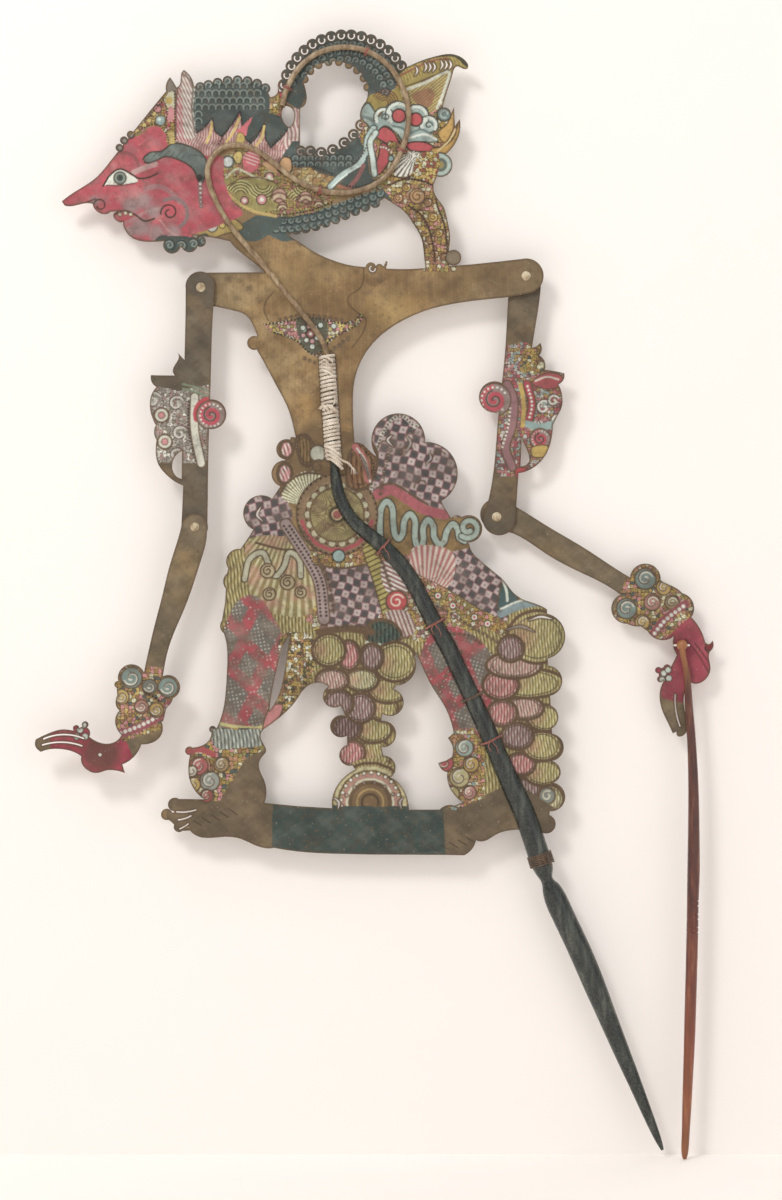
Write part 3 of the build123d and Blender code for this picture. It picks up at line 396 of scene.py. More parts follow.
def paint_face(c):
    skin = [(-297, 409), (-284, 418.5), (-273, 426), (-262, 441), (-256, 449), (-247, 450),
            (-240, 455.5), (-234, 455), (-229.8, 450), (-228.5, 443), (-216, 442), (-206, 438),
            (-196, 437), (-195.5, 424), (-191, 412), (-184, 403), (-196, 397), (-206, 393),
            (-214, 390), (-214, 385), (-256, 384), (-265, 398), (-280, 403), (-297, 406)]
    rows = c.area(skin)
    c.pattern(rows, PINK)
    c.mottle(rows, 6.0, (200, 112, 112), 0.55, 1.0)
    c.mottle(rows, 2.2, (164, 84, 92), 0.35, 4.0)
    c.mottle(rows, 3.4, (150, 134, 130), 0.28, 7.0)
    # greyed patches round the mouth and the chin
    for x, z, r in ((-252, 408, 7), (-244, 411, 7), (-238, 404, 6), (-246, 395, 8), (-236, 391, 7),
                    (-274, 411, 4), (-226, 392, 6), (-253, 392, 5)):
        spot = c.near((x - 9, z - 9), (x + 9, z + 9))
        gap = np.hypot(c.p[spot, 0] - x, c.p[spot, 1] - z)
        c.put(spot, np.clip(1.5 - 1.5 * gap / r, 0, 0.85), (156, 134, 132))
    c.line([(-266, 398), (-258, 396.5), (-250, 400), (-242, 404.4), (-234, 406)], (172, 150, 146), 2.2,
           share=0.5)
    c.line([(-243, 418), (-236, 419.6), (-229, 417), (-222, 410)], (160, 140, 136), 3.0, share=0.55)
    for x, z, r in ((-249, 416, 5), (-258, 412, 4), (-262, 432, 3)):
        spot = c.near((x - 9, z - 9), (x + 9, z + 9))
        gap = np.hypot(c.p[spot, 0] - x, c.p[spot, 1] - z)
        c.put(spot, np.clip(1 - gap / r, 0, 1) * 0.5, (206, 158, 152))
    # brow fold, eye, nostril, mouth and cheek curl
    c.line([(-262, 439), (-255, 440), (-249, 437), (-247, 431)], (150, 86, 88), 2.0)
    c.line([(-250, 428), (-243, 431), (-237, 433)], (190, 160, 154), 3.4, share=0.8)
    c.fill([(-268, 420.4), (-264, 426.5), (-258.5, 429.6), (-252.6, 427), (-247.5, 422.6),
            (-257, 420.6)], WHITE)
    c.disc(-258.3, 424.6, 3.7, (132, 138, 128), INK, 0.7)
    c.disc(-258.3, 424.8, 1.9, (62, 66, 62))
    c.line([(-268.4, 419.8), (-264.4, 426.2), (-258.6, 430), (-252.4, 427.6), (-247, 424.4),
            (-241, 425), (-235.4, 427.4)], INK, 1.0, depth=0.6)
    c.line([(-266.6, 420.2), (-257.6, 420.2), (-249, 421.6)], (104, 62, 60), 0.7)
    c.arc(-270.4, 408.2, 3.9, 175, -150, INK, 0.8, rise=-1.8)
    c.line([(-292, 407.4), (-284, 407.6), (-277.4, 410.4), (-273, 412)], (96, 52, 54), 0.8)
    c.line([(-261.5, 402.6), (-256, 404.8), (-249.5, 402.6), (-243.5, 398.6), (-237.5, 400)], INK, 1.0,
           depth=0.6)
    for x in (-258.4, -255, -251.8):
        c.disc(x, 403.4 - 0.25 * abs(x + 255), 1.15, CREAM, (110, 70, 64), 0.4)
    c.arc(-228.4, 403.8, 5.4, 190, -260, INK, 0.85, rise=-3.8)
    c.arc(-226.6, 403.2, 9.2, 120, -60, (140, 112, 112), 2.4)
    c.line([(-234, 399), (-229, 393), (-223, 389)], (198, 150, 146), 1.4, share=0.7)
    # beard and side hair
    rows = c.area([(-236, 388.5), (-226, 389.6), (-214, 389.2), (-205, 390.5), (-203, 378),
                   (-236, 376)])
    c.pattern(rows, HAIR)
    curls(c, [(-228.4, 384), (-221, 383.6), (-213.8, 384.6), (-208, 386.8)], 2.6)
    side = [(-244, 436.5), (-240, 440), (-233, 441), (-226, 445.6), (-217, 444), (-209, 439.5),
            (-205.5, 432), (-208.4, 422), (-211, 423), (-214, 430), (-221, 434.8), (-230, 437.6),
            (-237, 435), (-242, 433.6)]
    rows = c.fill(side, (102, 108, 104), edge=INK, width=0.9)
    c.mottle(rows, 3.0, (132, 138, 130), 0.5, 3.0)
    for k in range(9):
        x = -238 + 3.4 * k
        c.line([(x, 437.5 + 1.2 * math.sin(k)), (x + 2.6, 441 - 0.06 * k * k)], (74, 80, 78), 0.5)
    c.line([(-209.6, 421), (-210, 414), (-209.2, 407)], (150, 118, 116), 2.2)
    for k in range(6):
        c.disc(-209.8 + 0.1 * k, 421 - 2.7 * k, 1.3 - 0.12 * k, (200, 184, 176), (92, 60, 58), 0.4)
    c.disc(-210.2, 424.8, 2.0, (46, 46, 44))
    # three beads on the forehead
    for x, z in ((-258.7, 443), (-255.9, 447.4), (-251.9, 450.9)):
        c.disc(x, z, 2.4, (104, 92, 86), INK, 0.6)
        c.disc(x + 0.4, z - 0.2, 1.0, (150, 140, 130))


def paint_crown(c):
    front = [(-254, 451), (-246, 461), (-240, 467), (-231, 478), (-229.6, 487), (-223, 489),
             (-223.4, 447), (-229, 444.6), (-230.4, 450.8), (-234.5, 456), (-240.4, 456.4),
             (-247, 451.4)]
    rows = c.area(front, False)
    c.mosaic(rows, 1.9, GOLDS + [ROSE, PINK], seed=3, gilt=0.45)
    c.line([(-252, 451.5), (-246, 460), (-240, 467), (-231.4, 477)], (120, 100, 74), 2.4)
    c.fill([(-229.8, 476), (-230, 484), (-227.6, 487), (-224.6, 481), (-224.6, 476)],
           (140, 126, 114))
    c.fill([(-231, 470), (-229, 476), (-225.4, 476), (-225.4, 468), (-228, 466.6)], CREAM)
    c.disc(-228.6, 471.4, 2.2, (206, 176, 108), gilt=0.6)
    c.disc(-233.8, 459.4, 3.2, TEAL, (112, 92, 70), 0.9)
    c.disc(-234.6, 460.2, 1.1, (214, 218, 210))
    c.disc(-235.5, 466.4, 2.3, ROSE, INK, 0.5)
    c.fill([(-230, 462), (-228, 468), (-225.6, 466), (-225.8, 460), (-228.4, 458.6)], ROSE)
    for x, z in ((-243.5, 456.6), (-240.8, 459.4), (-237.8, 463.6), (-248, 453)):
        c.disc(x, z, 1.5, (210, 184, 122), (112, 84, 56), 0.5, gilt=0.6)
    c.fill([(-229.6, 445.6), (-229.4, 451), (-226, 452), (-225, 446)], (196, 170, 110), gilt=0.5)
    for path in ([(-248.5, 452), (-240.4, 456.8), (-234.4, 456.4), (-230, 451.4), (-228.8, 444.6)],
                 [(-225, 447), (-225, 462), (-225.2, 477)],
                 [(-244, 458.4), (-238, 465), (-231.5, 472.5)],
                 [(-229.4, 452.5), (-231, 457.4), (-229.6, 464), (-231.2, 470)]):
        c.beads(path, (52, 40, 36), 0.52, 1.7)
    horn = [(-224, 470), (-222.6, 484), (-220.6, 490.6), (-216.6, 487.6), (-213.8, 479),
            (-214.8, 466), (-212.4, 451), (-217, 446), (-224.4, 447)]
    rows = c.area(horn, False)
    c.pattern(rows, ROSE)
    c.stripes(rows, 25, 1.75, (176, 104, 108), (212, 200, 190), 0.45)
    c.mottle(rows, 7.0, (196, 112, 116), 0.75, 5.0)
    right = c.area([(-219.5, 448), (-220.6, 470), (-222, 491), (-212, 486), (-214, 466),
                    (-212, 449)], False)
    c.stripes(right, 25, 1.75, (146, 128, 120), (222, 214, 202), 0.55, share=0.75)
    c.line([(-221.6, 489), (-214.6, 481), (-215, 466), (-213, 452)], (122, 108, 98), 0.9)
    c.line([(-224.4, 448), (-224.2, 470), (-223, 482)], (122, 84, 78), 0.8)


def paint_hair(c):
    # flames under the bun, then the bun over them
    rows = c.area([(-225, 445), (-214, 452), (-214, 470), (-166, 470), (-158, 458), (-153, 462),
                   (-150, 450), (-150, 436), (-160, 424), (-176, 440), (-190, 446), (-200, 441),
                   (-206, 437), (-216, 442)], False)
    c.pattern(rows, (200, 150, 146))
    c.stripes(rows, -14, 1.6, (170, 104, 106), (208, 190, 180), 0.45, 0.6)
    c.mottle(rows, 3.0, (128, 84, 80), 0.5, 2.0)
    bun = [(-217, 487), (-215.6, 470), (-215.2, 458), (-212.6, 451.6), (-208, 454.4), (-202.4, 461),
           (-200.8, 452.6), (-196.6, 449.4), (-192.4, 454.4), (-185.6, 465), (-184, 455),
           (-182.6, 448.4), (-179.4, 445.4), (-175, 450), (-170.6, 458.6), (-170.2, 448),
           (-167, 443), (-161, 448.6), (-156, 455.2), (-158.2, 459.8), (-164, 462.6), (-168, 466),
           (-167.6, 476), (-166, 490)]
    rows = c.area(bun, False)
    c.pattern(rows, HAIR)
    c.mottle(rows, 5.0, (98, 102, 100), 0.6, 1.0)
    c.line(bun[2:-3], (38, 40, 38), 0.8, False)
    for z in (480.5, 476, 471.6, 467.4, 463.2, 459):
        span = (-213, -170) if z > 466 else (-213, -206)
        for k in range(int((span[1] - span[0]) / 4.2)):
            x = span[0] + 4.2 * k + (2.1 if int(z) % 2 else 0)
            c.arc(x, z - 0.3, 2.1, 200, -20, (134, 140, 132), 0.75)
            c.arc(x, z - 0.3, 1.2, 200, -20, (46, 50, 48), 0.55)
    for x, z in ((-209.8, 479.6), (-204.8, 480.9), (-199.2, 482.2), (-193.2, 483.4), (-187.2, 483.7),
                 (-181.2, 483.2), (-175.4, 481.7), (-170.4, 478.9)):
        c.arc(x, z, 2.6, 190, -30, (40, 44, 42), 0.8)
        c.arc(x, z, 1.5, 190, -60, (150, 154, 148), 0.8)
    for path in ([(-215, 470), (-214.6, 458), (-211, 453), (-205, 458)],
                 [(-197, 450), (-191, 456.6), (-187, 462)],
                 [(-180.6, 446.4), (-174.6, 452.4), (-172, 456)],
                 [(-166.6, 444.4), (-160.6, 450.4)],
                 [(-196, 449), (-199, 445)]):
        c.beads(path, (44, 36, 34), 0.55, 1.8)
    c.fill([(-187.6, 453), (-184.6, 455.6), (-178.2, 461.6), (-181, 455), (-182.6, 450)],
           (206, 112, 118))
    for path in ([(-194, 446.4), (-190, 452), (-186, 461)], [(-176, 444), (-172.6, 449), (-171, 456)],
                 [(-206, 446), (-203.6, 452), (-202.8, 458)]):
        c.line(path, (212, 184, 118), 1.5, gilt=0.4)
    c.fill([(-188, 446), (-187, 451.6), (-183.6, 451), (-183, 446)], (206, 178, 108), edge=(120, 84, 60),
           width=0.5, gilt=0.5)
    # the column of feathers and the gold piece beside it
    rows = c.area([(-160, 437), (-158.6, 450), (-155.6, 456), (-154, 466), (-149.4, 470),
                   (-149.4, 437)], False)
    c.stripes(rows, 6, 2.4, (164, 116, 116), (216, 200, 190), 0.5, 0.4)
    rows = c.area([(-168.4, 464), (-164, 480), (-161, 483), (-156.4, 470), (-160.6, 462)], False)
    c.mosaic(rows, 2.0, GOLDS + [PINK], seed=7, gilt=0.4)
    # ring of hair
    ring = c.area([(-162, 478), (-160, 495), (-146, 508), (-128, 516), (-108, 514), (-92, 505),
                   (-80, 494), (-86, 470), (-100, 472), (-111, 472), (-108, 480), (-116, 492),
                   (-130, 497), (-142, 492), (-148, 482), (-144.8, 475), (-150, 466),
                   (-157, 470)], False)
    c.pattern(ring, HAIR)
    c.mottle(ring, 5.0, (94, 100, 98), 0.6, 2.0)
    for turn, first, last, count, r in ((33.6, 164, 34, 17, 2.1), (28.6, 150, 20, 14, 2.2),
                                        (24.2, 120, 10, 11, 2.0)):
        for k in range(count):
            a = math.radians(first + (last - first) * k / (count - 1))
            x, z = -121.5 + turn * math.cos(a), 472.3 + turn * math.sin(a)
            c.arc(x, z, r, 200, -90, (136, 142, 136), 0.75, rise=-r * 0.6)
            c.arc(x, z, r + 0.5, 200, 0, (42, 46, 44), 0.6)
    c.arc(-121.5, 472.3, 36, 165, 30, (44, 48, 46), 0.6)
    low = c.area([(-160, 438), (-154, 447), (-140, 446), (-128, 446), (-118, 453), (-109.6, 461),
                  (-106, 452), (-110, 438), (-120, 430), (-132, 424), (-150, 430)], False)
    c.pattern(low, HAIR)
    c.mottle(low, 4.0, (98, 106, 104), 0.6, 6.0)
    for z in (436.4, 432.6):
        for k in range(8):
            x = -152 + 4.6 * k
            c.arc(x, z, 2.0, 200, -40, (134, 140, 134), 0.7, rise=-1.0)
            c.arc(x, z, 2.6, 200, -20, (42, 46, 44), 0.5)
    nape = c.area([(-176, 402), (-150, 402.5), (-134, 406), (-122, 410.6), (-108, 415.4),
                   (-96, 418), (-90, 424), (-84, 430), (-92, 412), (-104, 404), (-120, 398),
                   (-140, 389), (-160, 386), (-172, 392), (-186, 396)], False)
    c.pattern(nape, (74, 84, 82))
    c.mottle(nape, 5.0, (96, 104, 102), 0.6, 3.0)
    for shift, r in ((0.0, 2.3), (4.6, 2.0), (9.0, 1.7)):
        for k in range(15):
            x = -164 + 4.5 * k
            z = 394 + 0.0042 * (x + 164) ** 2 + shift
            c.arc(x, z, r, 20, -250, (136, 144, 138), 0.75, rise=-r * 0.6)
            c.arc(x, z, r + 0.5, 0, -180, (44, 50, 48), 0.6)
    c.fill([(-190, 392), (-176, 400), (-160, 400), (-166, 392), (-178, 386)], (82, 90, 86))


def paint_ear(c):
    ear = [(-196, 437), (-188, 442), (-178, 442), (-168, 435), (-160, 428), (-150, 422),
           (-136, 417), (-126, 414), (-130, 409), (-140, 404), (-152, 401.6), (-166, 401),
           (-178, 404), (-187, 409), (-193, 417), (-196, 426)]
    rows = c.area(ear, False)
    c.pattern(rows, OLIVE)
    c.mosaic(rows, 1.9, [GOLD, OLIVE, (190, 180, 140), (176, 112, 108), (150, 104, 84), (176, 146, 92)],
             seed=11, gilt=0.35, share=0.9)
    gold = c.area([(-195, 425), (-184, 424), (-172, 424), (-163, 420), (-160, 412), (-166, 405),
                   (-180, 406), (-190, 414)])
    c.pattern(gold, (158, 146, 92), 0.85)
    for x, z, r0, n in ((-185.5, 414, 3.2, 4), (-172, 421.5, 4.0, 4), (-150, 409.5, 2.6, 4),
                        (-148, 419.8, 2.4, 3)):
        lo, hi = (150, 20) if z < 415 else (-20, -160)
        for k in range(n):
            c.arc(x, z, r0 + 1.7 * k, lo, hi, (92, 76, 52), 0.75)
            c.arc(x, z, r0 + 1.7 * k + 0.8, lo, hi, (206, 196, 140), 0.6)
    for x, z, r in ((-172.6, 411.6, 3.1), (-183, 411, 2.4), (-168, 425.4, 2.6), (-149, 412, 2.2)):
        c.disc(x, z, r, ROSE, INK, 0.6)
        c.disc(x, z, r * 0.45, WHITE)
    c.disc(-193, 434.4, 3.4, (196, 196, 190), (84, 82, 78), 1.0)
    c.disc(-194, 435.4, 1.1, (234, 232, 226))
    c.fill([(-190, 438), (-186, 441), (-184, 437), (-187, 433)], (206, 180, 116), edge=INK, width=0.5,
           gilt=0.4)
    c.fill([(-184, 437), (-178, 441.6), (-174, 437), (-176, 430), (-182, 428)], (206, 110, 116))
    c.stripes(c.area([(-184, 437), (-178, 441.6), (-174, 437), (-177, 432)]), 70, 2.0,
              (190, 96, 104), (220, 180, 176), 0.45)
    c.fill([(-172, 434), (-166, 433), (-162, 428), (-168, 429)], (196, 156, 120))
    c.line([(-194, 425), (-188, 430), (-182, 428), (-176, 425), (-166, 424)], CREAM, 1.3)
    c.line([(-193, 420), (-184, 424.6), (-172, 424.4), (-163, 421)], (104, 80, 54), 0.8)
    for x, z, r in ((-162, 414, 4.4), (-146, 413, 3.6), (-160, 407.6, 2.6), (-138, 409.4, 2.4)):
        c.disc(x, z, r, (190, 150, 134), (98, 66, 56), 0.7)
        for k in range(3):
            c.arc(x, z - r, r * (0.6 + 0.4 * k), 160, 30, (206, 196, 160) if k % 2 else (96, 66, 50), 0.7)
    c.beads([(-192, 412), (-184, 406.4), (-170, 402.6), (-154, 403), (-140, 406), (-130, 410)],
            (52, 42, 36), 0.6, 2.0)
    c.line([(-193.6, 416), (-187, 409.6), (-177, 404.4), (-164, 401.6)], (196, 168, 110), 2.0, gilt=0.4)
    # gold leaf over the ear and the collar
    leaf = [(-159, 424), (-152, 429.6), (-144, 431), (-138, 428), (-132, 425.8), (-128.4, 424.6),
            (-131, 420), (-140, 419), (-150, 421.4)]
    rows = c.fill(leaf, (196, 166, 110), edge=(110, 82, 58), gilt=0.5)
    c.mosaic(rows, 2.4, [(206, 180, 122), (186, 150, 96), CREAM, (176, 128, 96)], seed=5, gilt=0.5,
             share=0.6)
    for k in range(4):
        c.line([(-154 + 6 * k, 423), (-150 + 6 * k, 427.6)], (112, 84, 58), 0.6)
    c.beads([(-155, 430.6), (-146, 432.6), (-138, 430), (-130, 427.4)], (40, 38, 34), 0.5, 1.8)
    rows = c.fill([(-163, 430), (-160, 437), (-155, 436), (-154.6, 429), (-159, 427)],
                  (200, 156, 118), edge=INK, gilt=0.4)
    collar = [(-216, 389), (-207, 394), (-205, 398.6), (-190, 400), (-184, 394), (-196, 390.4),
              (-206, 386.6)]
    c.fill(collar, (178, 152, 96), edge=(96, 76, 52), gilt=0.4)
    c.disc(-202.6, 395.2, 3.2, (206, 200, 190), INK, 0.6)
    c.disc(-196.4, 396, 1.8, (206, 180, 116), INK, 0.5)
    c.disc(-192.4, 397, 1.6, (192, 120, 116), INK, 0.5)


def paint_bird(c):
    body = c.area([(-112, 474), (-96, 474), (-86, 488), (-70, 500), (-46, 500), (-44, 488),
                   (-62, 466), (-50, 462), (-50, 440), (-56, 424), (-66, 424), (-56, 400),
                   (-50, 378), (-56, 368), (-76, 368), (-78, 386), (-92, 408), (-98, 417),
                   (-104, 428), (-110, 440), (-116, 456)], False)
    c.pattern(body, (160, 134, 84))
    c.mosaic(body, 2.3, GOLDS + [ROSE, CREAM], seed=21, gilt=0.45)
    # wing: scalloped dark top, gold band, hatched panel
    rows = c.area([(-92, 486), (-83, 494), (-70, 500), (-56, 502), (-46, 498), (-46, 488), (-56, 492),
                   (-70, 489), (-84, 482)], False)
    c.pattern(rows, (168, 148, 88), gilt=0.4)
    c.stripes(rows, 20, 1.9, (150, 124, 74), (196, 176, 112), 0.5, share=0.7)
    c.line([(-91, 488), (-84, 493.2), (-75, 497), (-64, 499.4), (-55, 499), (-48.6, 493.4)],
           (66, 66, 56), 3.0)
    c.line([(-90, 486), (-80, 491), (-70, 495.4), (-60, 497)], (150, 82, 76), 0.9)
    rows = c.area([(-92, 484), (-84, 483), (-70, 489.4), (-58, 492.6), (-56, 488.6), (-70, 486),
                   (-86, 477.6)], False)
    c.pattern(rows, (176, 154, 96), gilt=0.4)
    panel = [(-87.6, 476.6), (-74, 482.4), (-59, 489.4), (-61, 478), (-66, 466.6), (-72, 463),
             (-82, 468)]
    rows = c.fill(panel, (164, 140, 92), False, gilt=0.35)
    c.stripes(rows, 130, 1.5, (146, 116, 76), (196, 178, 122), 0.5)
    spot = c.area([(-82, 474), (-72, 479), (-68, 474), (-73, 467)])
    c.pattern(spot, (146, 92, 78), 0.6)
    c.line([(-88, 477), (-73, 482.6), (-59.6, 489), (-62, 478), (-66.4, 467)], (220, 214, 196), 1.9)
    c.line([(-88, 479), (-73, 484.6), (-60, 490.6)], (104, 82, 56), 0.8)
    # hind leaf left of the strand
    c.fill([(-112, 470), (-104, 476), (-96, 474), (-90, 480), (-88, 470), (-98, 466), (-108, 466)],
           (162, 140, 84), gilt=0.4)
    for k in range(5):
        c.arc(-98, 470, 2.0 + 1.5 * k, 150, -20, (104, 62, 50), 0.6)
    # pale cloud face
    cloud = [(-113, 464), (-108, 470), (-102, 462), (-97, 468), (-90, 471), (-85, 466.6),
             (-80, 468.6), (-73, 466.6), (-71, 461), (-66.6, 459.6), (-66.6, 454), (-72, 451),
             (-66, 447), (-74, 446.6), (-86, 446), (-91, 452), (-98, 456), (-104, 452),
             (-108, 456)]
    rows = c.fill(cloud, (160, 172, 166), edge=(58, 60, 54), width=0.9)
    c.mottle(rows, 4.0, (206, 210, 200), 0.6, 2.0)
    c.line([(-112, 462), (-106, 459.6), (-103, 455)], (122, 132, 128), 2.0)
    for x, z, r in ((-98.6, 461.2, 3.9), (-90, 463.2, 5.4), (-79, 461.6, 5.2), (-71.6, 456.6, 3.4)):
        c.arc(x, z, r + 1.1, 210, -30, (224, 224, 214), 1.9)
        c.arc(x, z, r + 2.4, 200, -20, (66, 66, 60), 0.7)
    c.disc(-89.6, 462.2, 4.1, (196, 96, 98), INK, 0.9)
    c.disc(-79.4, 460.0, 4.0, (190, 90, 92), INK, 0.9)
    c.arc(-97.6, 461.4, 2.4, 200, -150, (70, 78, 76), 0.8, rise=-1.2)
    c.arc(-71.6, 456.6, 2.3, 0, 320, (70, 78, 76), 0.8, rise=-1.2)
    c.line([(-93, 456), (-87, 454.4), (-84, 449.6)], (112, 126, 124), 1.4)
    c.line([(-82, 452), (-76, 454), (-70, 451)], (112, 126, 124), 1.2)
    c.line([(-83, 449), (-74, 451), (-67, 448)], (228, 226, 216), 1.4)
    # beaks and the red tongue
    c.fill([(-103.4, 450), (-99, 455.6), (-93, 452.4), (-90, 447), (-88, 443), (-93, 444), (-98, 446)],
           (194, 92, 96), edge=INK)
    c.fill([(-85, 445.4), (-77, 446.6), (-70, 444.6), (-67.4, 441), (-75, 440.6), (-83, 441.6)],
           (194, 92, 96), edge=INK)
    c.fill([(-99, 446), (-94, 441), (-96, 434), (-101, 427), (-105, 428), (-102, 438), (-101, 444)],
           (190, 90, 94), edge=INK)
    c.fill([(-96, 446), (-89, 445), (-86, 438), (-91, 431), (-95, 437)], (188, 152, 90), edge=INK,
           gilt=0.5)
    c.mosaic(c.area([(-96, 446), (-89, 445), (-86, 438), (-91, 431), (-95, 437)]), 1.9, GOLDS,
             seed=2, gilt=0.5)
    c.disc(-94.4, 436.4, 1.7, TEAL, INK, 0.5)
    for k in range(5):
        c.disc(-100.6 + 1.6 * k, 443.4 - 0.2 * k * k, 0.8, WHITE, (120, 60, 58), 0.3)
    # ribbons that fall to the ear
    c.line([(-131, 419.4), (-124, 426.4), (-114, 432.6), (-109.6, 440), (-108.6, 448),
            (-105, 454.6)], (72, 76, 70), 4.6)
    c.line([(-131, 419.4), (-124, 426.4), (-114, 432.6), (-109.6, 440), (-108.6, 448),
            (-105, 454.6)], (188, 200, 194), 3.2)
    c.line([(-130, 419.4), (-123, 425.4), (-113, 431.6)], (226, 230, 222), 1.0)
    c.line([(-103.6, 452), (-107, 446), (-105.6, 437), (-104.4, 427)], (72, 76, 70), 4.4)
    c.line([(-103.6, 452), (-107, 446), (-105.6, 437), (-104.4, 427)], (206, 212, 204), 3.0)
    c.beads([(-117, 433), (-111.4, 439), (-108.6, 446)], (52, 52, 48), 0.5, 1.9)
    rows = c.area([(-126, 420.6), (-120, 427.6), (-112, 432), (-108.6, 438.6), (-107.4, 428),
                   (-105, 423.6), (-98, 424), (-106, 417.6), (-118, 416.4)], False)
    c.pattern(rows, (78, 84, 80))
    c.line([(-119, 419.4), (-114.6, 425), (-111, 432)], (146, 96, 94), 2.6)
    c.line([(-126, 420), (-116, 416.6), (-108, 417.4)], (176, 118, 96), 1.8)
    c.beads([(-122, 420), (-114, 419), (-106, 421.6), (-99, 426)], (36, 34, 32), 0.55, 1.9)
    # gold feathers at the far side, loop and fan
    c.fill([(-66, 452), (-60, 458), (-57, 468), (-55.8, 460), (-57.6, 452), (-62, 446)],
           (196, 156, 96), edge=(96, 70, 46), gilt=0.5)
    c.fill([(-70, 442), (-62, 444), (-56, 450), (-53.2, 461), (-52.8, 452), (-56, 444), (-62, 438),
            (-68, 437)], (190, 150, 90), edge=(96, 70, 46), gilt=0.5)
    c.line([(-66, 441), (-59.4, 447), (-55.4, 454)], (222, 198, 150), 0.9)
    c.disc(-62.3, 463.2, 4.2, (116, 128, 124), INK, 0.8)
    c.arc(-62.3, 463.2, 2.2, 0, 300, (180, 188, 180), 0.9)
    c.disc(-64.6, 432.6, 7.2, (150, 132, 88), INK, 0.8)
    c.arc(-64.6, 432.6, 5.6, 110, -130, (176, 188, 182), 2.4)
    c.arc(-64.6, 432.6, 3.2, 100, -120, (92, 104, 102), 1.6)
    fan = c.area([(-93, 427), (-88, 438), (-81, 441), (-76, 438), (-80, 430), (-85, 425.6)])
    c.stripes(fan, 0, 38, (92, 74, 66), (228, 222, 210), 0.62, centre=(-79, 441))
    c.line([(-94, 426), (-86, 424.6), (-79, 428), (-75, 436)], (70, 56, 48), 0.8)
    rows = c.area([(-78, 438), (-66, 440), (-66, 428), (-70, 422), (-80, 424)])
    c.mosaic(rows, 2.1, [(206, 176, 108), GOLD, CREAM, (160, 92, 78)], seed=8, gilt=0.5)
    # tail
    for x, z, r in ((-78.6, 413.6, 4.6), (-77.4, 403, 2.6), (-69, 401, 3.0), (-65.6, 391.4, 2.6),
                    (-70.6, 387.4, 2.6), (-68, 378.6, 2.4), (-62.6, 377, 2.2), (-90, 412.6, 2.8),
                    (-85, 419, 2.6), (-72, 410, 2.4)):
        c.disc(x, z, r, (196, 164, 100) if int(x) % 2 else (190, 150, 110), (84, 56, 48), 0.7, gilt=0.5)
        c.arc(x, z, r * 0.78, 40, 480, (92, 62, 44), 0.6, rise=-r * 0.6)
        c.disc(x + r * 0.5, z + r * 0.4, 0.45, WHITE)
    for path in ([(-74.4, 376), (-75, 386), (-80, 396), (-88, 404), (-97, 412)],
                 [(-60.6, 374), (-60.6, 386), (-62.6, 398), (-66.4, 408), (-68, 420)],
                 [(-67.6, 374), (-69, 384), (-71.6, 394), (-76, 402), (-84, 408)],
                 [(-96, 420), (-86, 424), (-76, 423), (-69, 420)]):
        c.line(path, (98, 72, 50), 1.2)
        c.beads(path, (48, 36, 32), 0.6, 2.0)
    c.disc(-56.6, 376.5, 4.7, (128, 112, 92), (84, 66, 50), 0.9)


